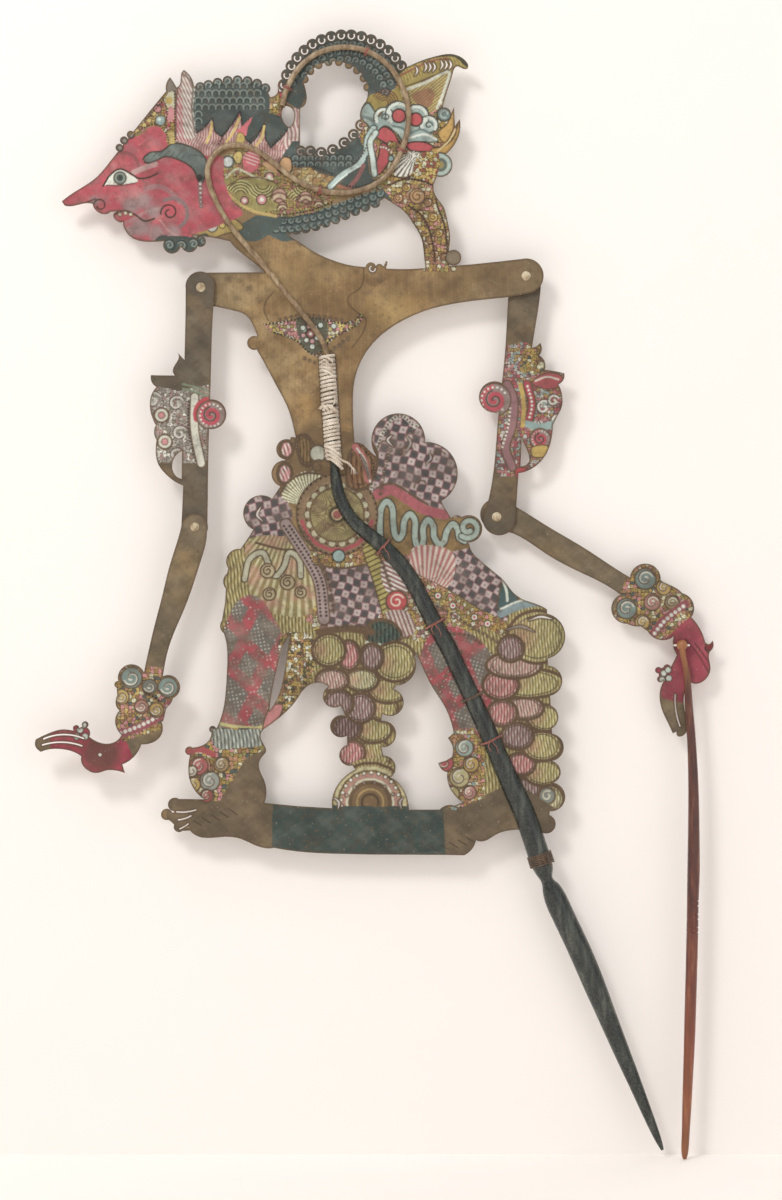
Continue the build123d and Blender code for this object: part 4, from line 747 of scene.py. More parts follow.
def paint_torso(c):
    torso = c.area([(-180, 392), (-120, 376), (-20, 382), (0, 376), (0, 354), (-60, 344),
                    (-100, 326), (-112, 300), (-113, 250), (-154, 250), (-160, 290),
                    (-184, 320), (-222, 344), (-222, 372), (-196, 388)], False)
    c.pattern(torso, (158, 127, 90))
    c.mottle(torso, 16.0, (190, 160, 118), 0.8, 1.0)
    c.mottle(torso, 24.0, (112, 84, 54), 0.6, 4.4)
    c.mottle(torso, 6.0, (128, 96, 62), 0.55, 3.3)
    c.mottle(torso, 2.4, (120, 92, 66), 0.22, 5.0)
    x, z = c.p[torso].T
    grain = np.sin(x * 2.1 + 1.3 * np.sin(z * 0.09)) * np.sin(x * 0.83 + z * 0.05)
    c.put(torso, np.clip(grain - 0.35, 0, 1) * 0.35, (122, 92, 60))
    c.put(torso, np.clip(-grain - 0.4, 0, 1) * 0.35, (188, 158, 116))
    # painted highlight and painted shade: golden highlights on the chest and its upper left, darker
    # patches at both shoulders, the upper chest and the waist
    for light_shade_x, light_shade_z, reach, tone in ((-92, 345, 26, (196, 160, 104)), (-150, 366, 30, (176, 142, 96)),
                                        (-40, 366, 18, (118, 90, 58)), (-186, 372, 22, (104, 84, 62)),
                                        (-118, 300, 14, (112, 82, 52)), (-128, 372, 16, (116, 88, 58))):
        gap = np.hypot(x - light_shade_x, (z - light_shade_z) * 1.6) / reach
        c.put(torso, np.clip(1 - gap, 0, 1) * 0.6, tone)
    # painted shade: darker towards the left shoulder and towards the bottom, greyer towards the right
    c.put(torso, np.clip((-178 - x) / 26, 0, 1) * 0.55, (112, 96, 76))
    c.put(torso, np.clip((x + 70) / 60, 0, 1) * 0.5, (128, 112, 92))
    c.put(torso, np.clip((300 - z) / 40, 0, 1) * 0.35, (112, 84, 56))
    # beside the waist binding, a painted highlight with painted shade below it
    neck = c.near((-160, 258), (-130, 290))
    gap = np.hypot((c.p[neck, 0] + 146) / 8, (c.p[neck, 1] - 284) / 14)
    c.put(neck, np.clip(1 - gap, 0, 1) * 0.7, (206, 160, 104))
    gap = np.hypot((c.p[neck, 0] + 142) / 9, (c.p[neck, 1] - 269) / 12)
    c.put(neck, np.clip(1 - gap, 0, 1) * 0.6, (88, 64, 44))
    for path in ([(-111, 371), (-111.2, 362), (-114, 357), (-119, 354), (-120.4, 350), (-118, 346),
                  (-114, 342.6)],
                 [(-166, 355), (-170, 350), (-171, 344), (-168.6, 338.6)],
                 [(-113, 343), (-109.4, 338), (-112, 330), (-118, 322)],
                 [(-153, 262), (-156, 276), (-162, 292), (-170, 306)]):
        c.line(path, (96, 72, 50), 0.7, depth=0.8)
    for x, z, r in ((-104.6, 364.6, 3.0), (-101.6, 365.4, 2.0)):
        for k in range(3):
            c.arc(x, z, r + 1.1 * k, 200, 340, (104, 78, 54), 0.45)
    rows = c.near((-224, 340), (-168, 376))
    for x, z, r in ((-188, 352, 4), (-203, 362, 3), (-193, 364, 3), (-180, 358, 3)):
        gap = np.hypot(c.p[rows, 0] - x, c.p[rows, 1] - z)
        c.put(rows, np.clip(1 - gap / r, 0, 1) * 0.45, (90, 72, 54))
    crescent = [(-172, 336.4), (-160, 338), (-150, 340), (-143, 340.4), (-132, 339), (-122, 337.4),
                (-116, 339.4), (-112.4, 343.6), (-110.4, 341), (-114.4, 335.4), (-121, 331.6),
                (-127, 328.6), (-131.6, 325), (-136.6, 318.4), (-140.6, 316.6), (-146, 320),
                (-151, 325.4), (-158, 328.4), (-166, 331)]
    rows = c.fill(crescent, (186, 156, 100), False, gilt=0.4)
    c.mosaic(rows, 2.1, [CREAM, (206, 180, 116), ROSE, MAUVE, OLIVE, (200, 190, 170)], seed=13,
             gilt=0.3)
    rows = c.area([(-152, 339), (-143, 340), (-134, 339), (-133, 327), (-140, 318), (-148, 323)])
    c.pattern(rows, (84, 84, 72), 0.8)
    for k in range(8):
        a = math.radians(45 * k + 12)
        c.disc(-143 + 4.6 * math.cos(a), 330.4 + 4.6 * math.sin(a), 1.5,
               (206, 208, 198) if k % 2 else (196, 150, 150), INK, 0.4)
    c.disc(-143, 330.4, 2.6, (150, 96, 96), INK, 0.7)
    c.disc(-143, 330.4, 1.0, WHITE)
    for x, z in ((-144, 337.4), (-142, 322.6), (-147.6, 334), (-129, 335), (-137, 335.6)):
        c.disc(x, z, 1.7, (200, 204, 194), INK, 0.5)
    top = [(-171, 336), (-160, 337.6), (-150, 339.4), (-143, 340), (-132, 338.4), (-122, 336.8),
           (-116, 338.6), (-112.6, 342.6)]
    low = [(-166, 331.4), (-158, 329), (-151, 326), (-146, 321), (-140.6, 317.6), (-136.8, 319.4),
           (-131.8, 326), (-127, 329.4), (-121, 332.4), (-114.8, 336.2), (-111.6, 340.6)]
    c.beads(top, (56, 44, 38), 0.66, 2.2)
    c.beads(low, (56, 44, 38), 0.66, 2.2)


def pleats(c, rows, colour, light, pitch=2.0, angle=4.0):
    """Brushed cloth: fine dark and pale lines, never quite parallel."""
    c.pattern(rows, colour)
    x, z = c.p[rows].T
    a = math.radians(angle)
    u = x * math.cos(a) + z * math.sin(a) + 0.35 * np.sin(z * 0.31 + x * 0.05)
    for shift, tone, share, wide in ((0.0, np.array(colour) * 0.5, 0.9, 0.17),
                                     (0.5, np.array(light), 0.95, 0.17),
                                     (0.27, np.array(light) * 0.85, 0.45, 0.08)):
        line = np.abs((u / pitch + shift) % 1 - 0.5)
        uneven = 0.65 + 0.35 * np.sin(z * 0.9 + 4 * np.floor(u / pitch + shift))
        c.put(rows, np.clip((wide - line) / 0.12 + 0.5, 0, 1) * share * uneven, tone)


def lobe(c, points, colour, light, pitch=2.0, angle=4):
    """A drapery fold: brushed filling, brown rim and a dark inner line."""
    rows = c.area(points)
    pleats(c, rows, colour, light, pitch, angle)
    middle = np.mean(points, 0)
    inner = middle + (np.array(points) - middle) * 0.8
    c.line(inner, (66, 52, 40), 0.6, closed=True, share=0.75)
    c.line(points, RIM, 2.0, closed=True)


def blob(c, x, z, rx, rz, colour, light=CREAM, angle=4, pitch=2.0):
    points = [(x + rx * math.cos(a), z + rz * math.sin(a)) for a in np.linspace(0, 5.5, 8)]
    lobe(c, points, colour, light, pitch, angle)


def rosette(c, x, z, r, colour=PINK):
    """Curled end: rim, bead ring, coloured eye."""
    c.disc(x, z, r * 1.25, (150, 128, 122), RIM, 0.8)
    c.arc(x, z, r * 1.0, 100, 640, colour, r * 0.34, rise=-r * 0.85)
    for k in range(14):
        a = 2 * math.pi * k / 17 + 0.6
        c.disc(x + r * 0.96 * math.cos(a), z + r * 0.96 * math.sin(a), r * 0.09, WHITE)
    c.arc(x, z, r * 0.72, 100, 560, INK, 0.6, rise=-r * 0.6)


def scroll(c, x, z, r, tone, light=(216, 206, 190), start=80):
    """A curled leaf seen end on."""
    c.disc(x, z, r, tone, RIM, 0.9)
    c.arc(x, z, r * 0.72, start, start + 440, light, 0.9, rise=-r * 0.55)
    c.arc(x, z, r * 0.9, start, start + 340, (84, 58, 48), 0.6, rise=-r * 0.6)


def paint_belt(c):
    belt = c.area([(-160, 268), (-150, 266), (-140, 274), (-114, 270), (-109, 260), (-108, 240),
                   (-112, 222), (-150, 222), (-162, 234)], False)
    c.pattern(belt, (128, 102, 74))
    c.mottle(belt, 5.0, (96, 74, 52), 0.5, 2.0)
    lobe(c, [(-152, 266), (-146, 269), (-141, 262), (-142, 252), (-148, 252)], (132, 104, 72),
         (150, 122, 86))
    for x, z, rx, rz in ((-157.6, 260.5, 4, 5.5), (-158.6, 245.8, 4.4, 6.5)):
        blob(c, x, z, rx, rz, ROSE, WHITE, 20, 2.2)
    c.disc(-138.5, 258, 5, (190, 184, 170), RIM, 1.0)
    c.arc(-138.5, 250, 4.4, 60, 400, RIM, 1.0, rise=-2.8)
    fan = c.area([(-160, 231), (-158, 240), (-150, 246), (-140, 247), (-132, 242), (-131, 234),
                  (-140, 229), (-150, 227)])
    c.stripes(fan, 0, 58, (124, 108, 70), (220, 214, 190), 0.55, centre=(-143, 226))
    c.arc(-143, 227, 19.5, 160, 30, RIM, 1.4)
    c.disc(-127, 221, 24.5, (134, 108, 84), RIM, 1.0)
    c.arc(-127, 221, 21.6, -170, -10, (160, 80, 84), 2.2)
    c.arc(-127, 221, 20.2, 20, 160, (150, 122, 96), 1.6)
    for ring, count in ((24.0, 44), (18.9, 36)):
        for k in range(count):
            a = 2 * math.pi * k / count
            c.disc(-127 + ring * math.cos(a), 221 + ring * math.sin(a), 0.65, (60, 46, 40))
    for k in range(18):
        a = 2 * math.pi * k / 18
        c.disc(-127 + 17.6 * math.cos(a), 221 + 17.6 * math.sin(a), 2.3, (182, 172, 146), RIM, 0.6)
    c.disc(-127, 221, 16.4, (128, 112, 70), RIM, 0.9)
    inner = c.near((-144, 204), (-110, 238))
    gap = np.hypot(c.p[inner, 0] + 127, c.p[inner, 1] - 221)
    inner = inner[gap < 15.6]
    c.stripes(inner, 0, 84, (112, 94, 62), (164, 150, 108), 0.5, centre=(-127, 221))
    c.mottle(inner, 4.0, (96, 70, 58), 0.7, 1.0)
    c.mottle(inner, 2.4, (176, 164, 120), 0.35, 4.0)
    c.disc(-127, 221, 5.4, (72, 60, 46), (120, 104, 70), 0.8)
    c.disc(-127, 221, 3.0, (150, 90, 84), (196, 180, 140), 0.7)
    c.disc(-126, 196, 3.8, TEAL, INK, 0.8)
    lobe(c, [(-120, 238), (-121, 252), (-116, 263), (-108, 266), (-103, 258), (-104, 246), (-110, 237)],
         (132, 94, 66), (150, 112, 84), 3.0)
    c.line([(-116, 262), (-110.4, 254), (-108, 242)], (176, 104, 104), 4.0)
    c.line([(-115, 261), (-109.6, 253), (-107, 241)], (214, 208, 196), 1.2)
    c.beads([(-112, 263), (-106, 254), (-104, 243)], INK, 0.6, 2.0)


def paint_poleng(c):
    dark, light, ground = (80, 76, 76), (190, 170, 166), (136, 80, 88)
    for outline, size, angle, centre in (
            ([(-108, 214), (-108, 240), (-109, 262), (-108, 276), (-96, 286), (-86, 284),
              (-76, 276), (-68, 282),
              (-56, 270), (-50, 250), (-52, 226), (-66, 214), (-90, 212)], 4.6, -12, (-80, 250)),
            ([(-187, 226), (-182, 208), (-166, 202), (-156, 206), (-154, 222), (-160, 236), (-174, 238),
              (-184, 234)], 4.6, 14, (-170, 220)),
            ([(-138, 192), (-138, 168), (-132, 150), (-106, 150), (-98, 168), (-104, 190)], 4.4, -14,
             (-120, 170)),
            ([(-64, 202), (-60, 176), (-46, 158), (-26, 152), (-20, 170), (-26, 198), (-46, 206)],
             4.4, -30, (-44, 180)),
            ([(-76, 212), (-60, 204), (-40, 208), (-42, 228), (-60, 226)], 4.2, 8, (-58, 214))):
        rows = c.area(outline, False)
        c.checks(rows, size, angle, dark, light, ground, centre, core=(66, 60, 58))
        c.mottle(rows, 6.0, (122, 104, 98), 0.5, 4.0)
    for path in ([(-107, 230), (-104, 256), (-98, 273), (-89, 281), (-80, 274)],
                 [(-80, 274), (-70, 279), (-58, 268), (-53, 250), (-54, 232)]):
        c.line(path, (200, 190, 178), 2.0)
        c.beads(path, (60, 46, 42), 0.6, 2.1)
    for x, z in ((-97, 262), (-83, 259), (-64, 256), (-75, 238)):
        c.arc(x, z, 5.5, 190, 40, RIM, 0.8, rise=-3.0)


def sash(c, path, width, colour, edge=INK):
    c.line(path, edge, width + 1.5)
    c.line(path, colour, width)


def paint_cloth(c):
    """Everything between the belt and the ankles."""
    cloth = c.area([(-190, 208), (-150, 210), (-100, 214), (-20, 214), (0, 170), (24, 170), (24, 20),
                    (-80, 20), (-140, 20), (-170, 88), (-204, 86), (-200, 170)], False)
    c.pattern(cloth, (158, 142, 104))
    pleats(c, cloth, (150, 130, 84), (206, 194, 150), 2.0, 6)
    mixed = c.area([(-160, 206), (-100, 212), (-60, 204), (-30, 160), (-60, 140), (-100, 150),
                    (-140, 150), (-156, 170)], False)
    c.mosaic(mixed, 2.4, MIX, seed=31, gilt=0.25, share=0.85)
    paint_poleng(c)
    # left side: fan and discs over the patterned leg
    fan = c.area([(-180, 206), (-156, 208), (-140, 206), (-138, 176), (-146, 160), (-172, 164),
                  (-182, 184)])
    c.stripes(fan, 0, 96, (140, 124, 84), (196, 184, 148), 0.45, centre=(-150, 236))
    c.mottle(fan, 5.0, (170, 120, 108), 0.55, 3.0)
    c.line([(-176, 204), (-160, 200), (-146, 200)], RIM, 1.4)
    sash(c, [(-183, 182), (-180, 194), (-172, 198), (-168, 190), (-164, 184), (-159, 190),
             (-156, 198), (-150, 194), (-149, 184)], 3.0, (176, 168, 146), (74, 60, 46))
    for x, z, r in ((-169, 187, 4.4), (-157, 180, 4.4), (-168, 173, 3.8), (-149, 174, 3.4)):
        c.disc(x, z, r, (176, 160, 128), RIM, 1.0)
        c.arc(x, z, r * 0.7, 60, 500, (84, 58, 48), 0.8, rise=-r * 0.5)
    leg = c.area([(-206, 88), (-206, 120), (-196, 150), (-188, 168), (-176, 172), (-166, 160),
                  (-158, 140), (-160, 112), (-170, 96), (-176, 86)])
    patola(c, leg, 10, (-181, 130))
    c.line([(-203, 96), (-190, 93), (-176, 92), (-170, 94)], (196, 184, 130), 2.0)
    c.line([(-204, 92.6), (-190, 89.6), (-174, 89)], INK, 0.9)
    tip = c.area([(-162, 146), (-150, 150), (-140, 144), (-142, 124), (-152, 108), (-162, 98),
                  (-172, 90), (-168, 108), (-162, 124)])
    c.mosaic(tip, 1.8, GOLDS + [WHITE, (92, 84, 66), (92, 84, 66)], seed=17, gilt=0.45)
    c.fill([(-172, 90), (-163, 97), (-160, 106), (-168, 104)], (196, 130, 128), edge=RIM)
    # right leg
    leg = c.area([(-84, 92), (-80, 124), (-70, 150), (-52, 152), (-36, 140), (-26, 116), (-30, 92),
                  (-44, 84), (-66, 84)])
    patola(c, leg, -16, (-54, 118))
    # bands
    sash(c, [(-158, 215), (-150, 203), (-142, 190), (-137, 178), (-135, 158)], 6.4, (160, 138, 134), RIM)
    for shift in (-1.7, 1.7):
        c.beads([(-158 + shift, 215), (-150 + shift, 203), (-142 + shift, 190), (-137 + shift, 178),
                 (-135 + shift, 158)], (60, 46, 44), 0.75, 2.3)
    band = c.area([(-142, 204), (-126, 206), (-108, 202), (-107, 192), (-124, 189), (-140, 191)])
    c.mosaic(band, 2.4, GOLDS, seed=19, gilt=0.5)
    c.line([(-141, 191), (-124, 188.6), (-107, 191.6)], RIM, 1.2)
    c.line([(-142, 204), (-126, 206), (-108, 202.4)], RIM, 1.0)
    rope = [(-108, 202), (-103, 188), (-98, 172), (-94, 156)]
    sash(c, rope, 8.0, (172, 156, 98), RIM)
    for k in range(17):
        t = k / 16
        x, z = -108 + 14 * t, 202 - 46 * t
        c.line([(x - 3.4, z - 1.6), (x + 3.6, z + 1.8)], (84, 66, 44), 0.8)
    rows = c.area([(-100, 192), (-88, 194), (-82, 180), (-88, 172), (-98, 176)])
    c.stripes(rows, 64, 2.4, (134, 92, 92), (216, 206, 196), 0.5)
    c.disc(-91, 168.6, 6.4, (182, 84, 86), RIM, 1.1)
    c.arc(-91, 168.6, 4.6, 30, 480, (226, 208, 190), 0.9, rise=-3.6)
    rows = c.area([(-98, 162), (-84, 162), (-80, 150), (-92, 148)])
    c.stripes(rows, 20, 2.4, (140, 100, 98), (206, 190, 178), 0.5)
    lobe(c, [(-110, 150), (-104, 157), (-94, 156), (-88, 148), (-94, 141), (-106, 142)], (66, 78, 70),
         (92, 106, 96), 2.4)
    for k in range(9):
        c.disc(-109 + 2.5 * k, 143.4 - 1.4 * math.sin(k * 0.4), 1.3, (206, 206, 186))
    path = [(-101, 204), (-101, 218), (-100.2, 225), (-97, 229), (-93.6, 225), (-93, 216), (-92, 209),
            (-89.6, 206.4), (-87.2, 210), (-86.4, 217), (-83, 221.4), (-79.8, 217), (-80, 208),
            (-78.6, 202), (-76.2, 201), (-74.8, 206), (-75, 213), (-72, 218), (-68.8, 214),
            (-68.4, 208), (-65.4, 203), (-62.2, 205), (-60.6, 211), (-57, 215.4), (-54, 212),
            (-53, 207), (-49.6, 205)]
    ground = c.area([(-104, 200), (-104, 232), (-92, 232), (-78, 224), (-54, 219), (-40, 222), (-40, 205),
                     (-56, 199), (-80, 197)])
    c.pattern(ground, (138, 110, 74))
    c.mottle(ground, 3.0, (104, 82, 56), 0.6, 2.0)
    c.line([(-103, 233), (-94, 236), (-84, 230), (-74, 224), (-62, 221)], (166, 92, 98), 6.0)
    c.line([(-103, 237), (-94, 240), (-83, 234), (-72, 227)], RIM, 1.2)
    sash(c, path, 3.4, (156, 164, 154), (62, 52, 44))
    c.arc(-47.5, 213, 6.6, 230, 660, (62, 52, 44), 4.4, rise=-4.4)
    c.arc(-47.5, 213, 6.6, 230, 660, (156, 164, 154), 3.0, rise=-4.4)
    fan = c.area([(-82, 200), (-66, 202), (-56, 196), (-58, 180), (-70, 172), (-80, 180)])
    c.stripes(fan, 0, 64, (170, 110, 108), (204, 186, 172), 0.5, centre=(-74, 164))
    band = [(-78, 180), (-60, 171), (-44, 161), (-28, 153)]
    sash(c, band, 7.4, (178, 152, 96), RIM)
    rows = c.area([(-78, 184), (-60, 175), (-44, 165), (-27, 157), (-28, 149), (-46, 157),
                   (-62, 167), (-80, 176)])
    c.mosaic(rows, 2.2, GOLDS + [ROSE], seed=23, gilt=0.5)
    for x, z in ((-57, 166), (-56, 160), (-66, 172), (-44, 159), (-36, 155)):
        c.disc(x, z, 2.0, WHITE, RIM, 0.7)
        c.disc(x, z, 0.8, PINK)
    c.fill([(-30, 166), (-25, 186), (-18, 184), (-18, 168), (-24, 162)], (74, 92, 92), edge=RIM)
    c.line([(-27, 182), (-24.6, 175), (-24, 169)], (224, 222, 210), 1.6)
    c.line([(-28, 161), (-16, 166), (-4, 167.6), (6, 163)], (132, 144, 146), 4.6)
    c.line([(-28, 164), (-16, 169), (-4, 170), (7, 165)], (220, 216, 204), 1.2)


FOLD_TONES = {"olive": ((166, 148, 94), (222, 212, 176)), "cream": ((186, 172, 128), (226, 218, 190)),
              "mauve": ((142, 106, 104), (204, 188, 178)), "dusk": ((112, 82, 80), (176, 152, 144)),
              "pink": ((184, 112, 110), (222, 200, 188)), "rose": ((176, 132, 122), (220, 206, 190))}
# x, z, half width, half height, tone
MIDDLE_FOLDS = [(-102, 64, 9, 7, "olive"), (-104, 76, 10, 9, "olive"), (-119, 77, 9, 8, "pink"),
                (-105, 91, 11, 8, "olive"), (-121, 92, 9, 8, "dusk"), (-99, 104, 9, 8, "olive"),
                (-113, 104, 9, 9, "mauve"), (-126, 107, 9, 8, "mauve"), (-96, 115, 12, 8, "olive"),
                (-112, 121, 10, 7, "cream"), (-130, 121, 10, 7, "rose"), (-92, 132, 13, 12, "olive"),
                (-106, 135, 7, 8, "mauve"), (-120, 136, 7, 9, "pink"), (-132, 139, 10, 10, "olive")]
SIDE_FOLDS = [(0, 49, 10, 9, "cream"), (-13, 55, 9, 7, "mauve"), (-2, 65, 12, 8, "olive"),
              (-16, 70, 9, 7, "pink"), (-3, 81, 12, 9, "olive"), (-18, 87, 10, 8, "mauve"),
              (-1, 98, 11, 8, "olive"), (-14, 104, 12, 7, "rose"), (-27, 101, 9, 8, "pink"),
              (-12, 119, 23, 9, "olive"), (-28, 118, 11, 9, "pink"), (-20, 130, 17, 8, "rose"),
              (-6, 147, 18, 16, "olive"), (-22, 140, 8, 8, "mauve")]


def folds(c, table, lean):
    for number, (x, z, rx, rz, tone) in enumerate(table):
        colour, light = FOLD_TONES[tone]
        blob(c, x, z, rx, rz, colour, light, lean + 4 * math.sin(number * 2.1), 1.75)
        if tone in ("olive", "cream"):
            rows = c.near((x - rx, z - rz), (x + rx, z + rz))
            gap = np.hypot((c.p[rows, 0] - x + rx * 0.5) / rx * 1.5, (c.p[rows, 1] - z) / rz * 1.3)
            c.put(rows, np.clip(1 - gap, 0, 1) * 0.45, (176, 112, 106))


def paint_drapes(c):
    folds(c, MIDDLE_FOLDS, 2)
    c.line([(-138, 150), (-122, 152), (-106, 150)], (104, 80, 60), 4.2)
    folds(c, SIDE_FOLDS, 2)
    for path in ([(-26, 151), (-16, 153.6), (-7, 150)], [(-12, 158), (-4, 160.6), (5, 158)]):
        c.line(path, RIM, 0.9)
    c.disc(0, 51, 5, (128, 128, 120), RIM, 1.0)
    c.arc(0, 51, 3.2, 60, 400, (206, 196, 176), 0.9, rise=-2.0)
    c.disc(-0.5, 33.9, 5.0, (120, 98, 76), RIM, 1.0)
    # dome between the feet
    x, z, reach = -107, 47, 26
    dome = c.near((x - reach, z - 20), (x + reach, z + reach + 4))
    gap = np.hypot(c.p[dome, 0] - x, (c.p[dome, 1] - z) * 0.92)
    dome = dome[(gap < 24.5) & (c.p[dome, 1] > 44)]
    c.pattern(dome, (150, 126, 84))
    c.stripes(dome, 0, 70, (134, 110, 70), (188, 172, 130), 0.5, centre=(x, z))
    for r, colour, width in ((24, RIM, 1.6), (21, (196, 184, 146), 2.0), (19.2, RIM, 1.0),
                             (16.4, (176, 132, 122), 2.6),
                             (14.2, (206, 196, 180), 1.2), (12.6, RIM, 1.3)):
        c.arc(x, z, r, 200, -20, colour, width)
    for k in range(15):
        a = math.radians(190 - 14.6 * k)
        c.disc(x + 17.6 * math.cos(a), z + 18 * math.sin(a), 1.15, WHITE, RIM, 0.5)
    c.disc(x, z, 11.4, (122, 96, 70), RIM, 1.0)
    c.arc(x, z, 8.0, 200, -20, (168, 140, 96), 1.2)
    c.arc(x, z, 5.0, 200, -20, (82, 66, 50), 1.4)


def paint_feet(c):
    for outline, colour in (([(-230, 20), (-230, 48), (-210, 58), (-190, 66), (-170, 84), (-158, 60),
                              (-140, 34), (-140, 10), (-200, 8)], (112, 94, 74)),
                            ([(-86, 10), (-80, 40), (-60, 48), (-40, 50), (-20, 60), (10, 40), (20, 10),
                              (-30, 0)], (108, 92, 74))):
        rows = c.area(outline, False)
        c.pattern(rows, colour)
        c.mottle(rows, 8.0, (132, 110, 84), 0.6, 2.0)
        c.mottle(rows, 3.0, (88, 74, 60), 0.4, 4.0)
    strip = c.area([(-166.6, 6), (-166, 47.4), (-140, 45.4), (-100, 44.4), (-63, 46), (-61, 6)], False)
    c.pattern(strip, (62, 72, 68))
    c.line([(-166, 20), (-140, 16), (-100, 15), (-64, 17)], (96, 104, 96), 1.0, share=0.6)
    c.mottle(strip, 4.0, (92, 96, 88), 0.6, 1.0)
    for k in range(5):
        c.line([(-214 + 5.4 * k, 36 + 1.8 * k), (-209 + 5.4 * k, 33 + 1.6 * k)], (66, 54, 44), 0.6)
        c.line([(-70 + 5.4 * k, 20 + 1.4 * k), (-65 + 5.4 * k, 17 + 1.4 * k)], (66, 54, 44), 0.6)
    # anklets
    rows = c.area([(-220, 82), (-200, 92), (-172, 92), (-168, 80), (-182, 74), (-198, 48), (-216, 48),
                   (-222, 60)], False)
    c.pattern(rows, (128, 102, 76))
    c.mosaic(rows, 2.4, GOLDS + [ROSE, GREY], seed=41, gilt=0.35)
    rows = c.area([(-202, 91), (-186, 91), (-170, 91), (-172, 82), (-186, 80), (-200, 80)])
    pleats(c, rows, (140, 142, 134), (212, 208, 196), 2.2, 8)
    c.line([(-218, 77), (-210, 79), (-202, 76)], (170, 84, 86), 3.6)
    for x, z, r, tone in ((-210.6, 69, 5.6, (176, 100, 100)), (-204, 60, 6, (150, 150, 142)),
                          (-214, 58, 4.4, (186, 156, 96)), (-206, 51, 4, (168, 88, 88)),
                          (-197, 70, 4.6, (160, 134, 100)), (-215, 66, 3.4, (206, 196, 180))):
        scroll(c, x, z, r, tone)
    rows = c.area([(-70, 90), (-44, 92), (-38, 80), (-38, 50), (-56, 42), (-72, 52), (-70, 70)], False)
    c.mosaic(rows, 2.1, GOLDS + [TEAL, ROSE], seed=43, gilt=0.4)
    for x, z, r, tone in ((-62, 71, 5.4, (172, 88, 90)), (-53, 62, 6, (186, 172, 130)),
                          (-50, 80, 5.4, (150, 160, 152)), (-46, 70, 4.8, (184, 152, 92)),
                          (-58, 52, 5, (164, 150, 106)), (-47, 53, 4.2, (182, 126, 120))):
        scroll(c, x, z, r, tone)


def paint_body(c):
    whole = np.arange(len(c.p))
    c.mottle(whole, 12.0, (136, 110, 78), 0.6, 2.0)
    rows = c.area([(-112, 420), (-96, 424), (-40, 424), (-40, 360), (-116, 360)], False)
    c.pattern(rows, (150, 122, 84))
    paint_torso(c)
    paint_hair(c)
    paint_ear(c)
    paint_bird(c)
    paint_face(c)
    paint_crown(c)
    paint_cloth(c)
    paint_belt(c)
    paint_drapes(c)
    paint_feet(c)
    # the cut-in line that runs along the shoulders and chest
    for path in ([(-66, 384.6), (-44, 381), (-24, 378)], [(-104, 322), (-108, 306), (-111, 290)]):
        c.line(path, (104, 80, 56), 0.7, depth=0.6)


def paint_left_upper(c):
    whole = np.arange(len(c.p))
    c.mottle(whole, 13.0, (128, 104, 78), 0.7, 5.0)
    c.mottle(whole, 9.0, (116, 104, 88), 0.6, 1.0)
    c.mottle(whole, 3.0, (78, 68, 58), 0.4, 3.0)
    band = c.area([(-246, 300), (-222, 296), (-200, 300), (-190, 284), (-194, 264), (-208, 252),
                   (-236, 252), (-250, 264)], False)
    c.mosaic(band, 2.0, [(190, 180, 170), WHITE, (150, 138, 130), (170, 138, 132), (140, 132, 120),
                         (168, 160, 148)], line=(96, 80, 72), seed=51, gilt=0.2)
    for x, z, r in ((-238, 290, 5), (-240, 272, 5), (-236, 258, 4.4), (-224, 288, 4.6), (-222, 270, 4.4),
                    (-224, 257, 3.8)):
        c.arc(x, z, r, 30, 420, (206, 198, 188), 1.2, rise=-r * 0.75)
        c.arc(x, z, r + 0.9, 30, 300, (86, 68, 60), 0.6, rise=-r * 0.5)
    path = [(-213, 292), (-213, 272), (-209, 252)]
    sash(c, path, 4.4, (212, 204, 190), RIM)
    c.beads([(-216.6, 290), (-216.6, 272), (-212.4, 252)], INK, 0.6, 2.0)
    for x, z, r in ((-233, 281, 4.4), (-231, 265, 4.4)):
        c.disc(x, z, r, (206, 198, 184), RIM, 1.1)
        c.disc(x, z, r * 0.45, ROSE, RIM, 0.5)
    c.arc(-203, 281.6, 9.6, -20, 200, (182, 78, 84), 2.8)
    rosette(c, -203, 281, 7.0)
    for shift in (0, 2.8):
        c.line([(-220, 297 + shift), (-212, 295 + shift), (-202, 291.6 + shift)], (128, 136, 112), 1.3)


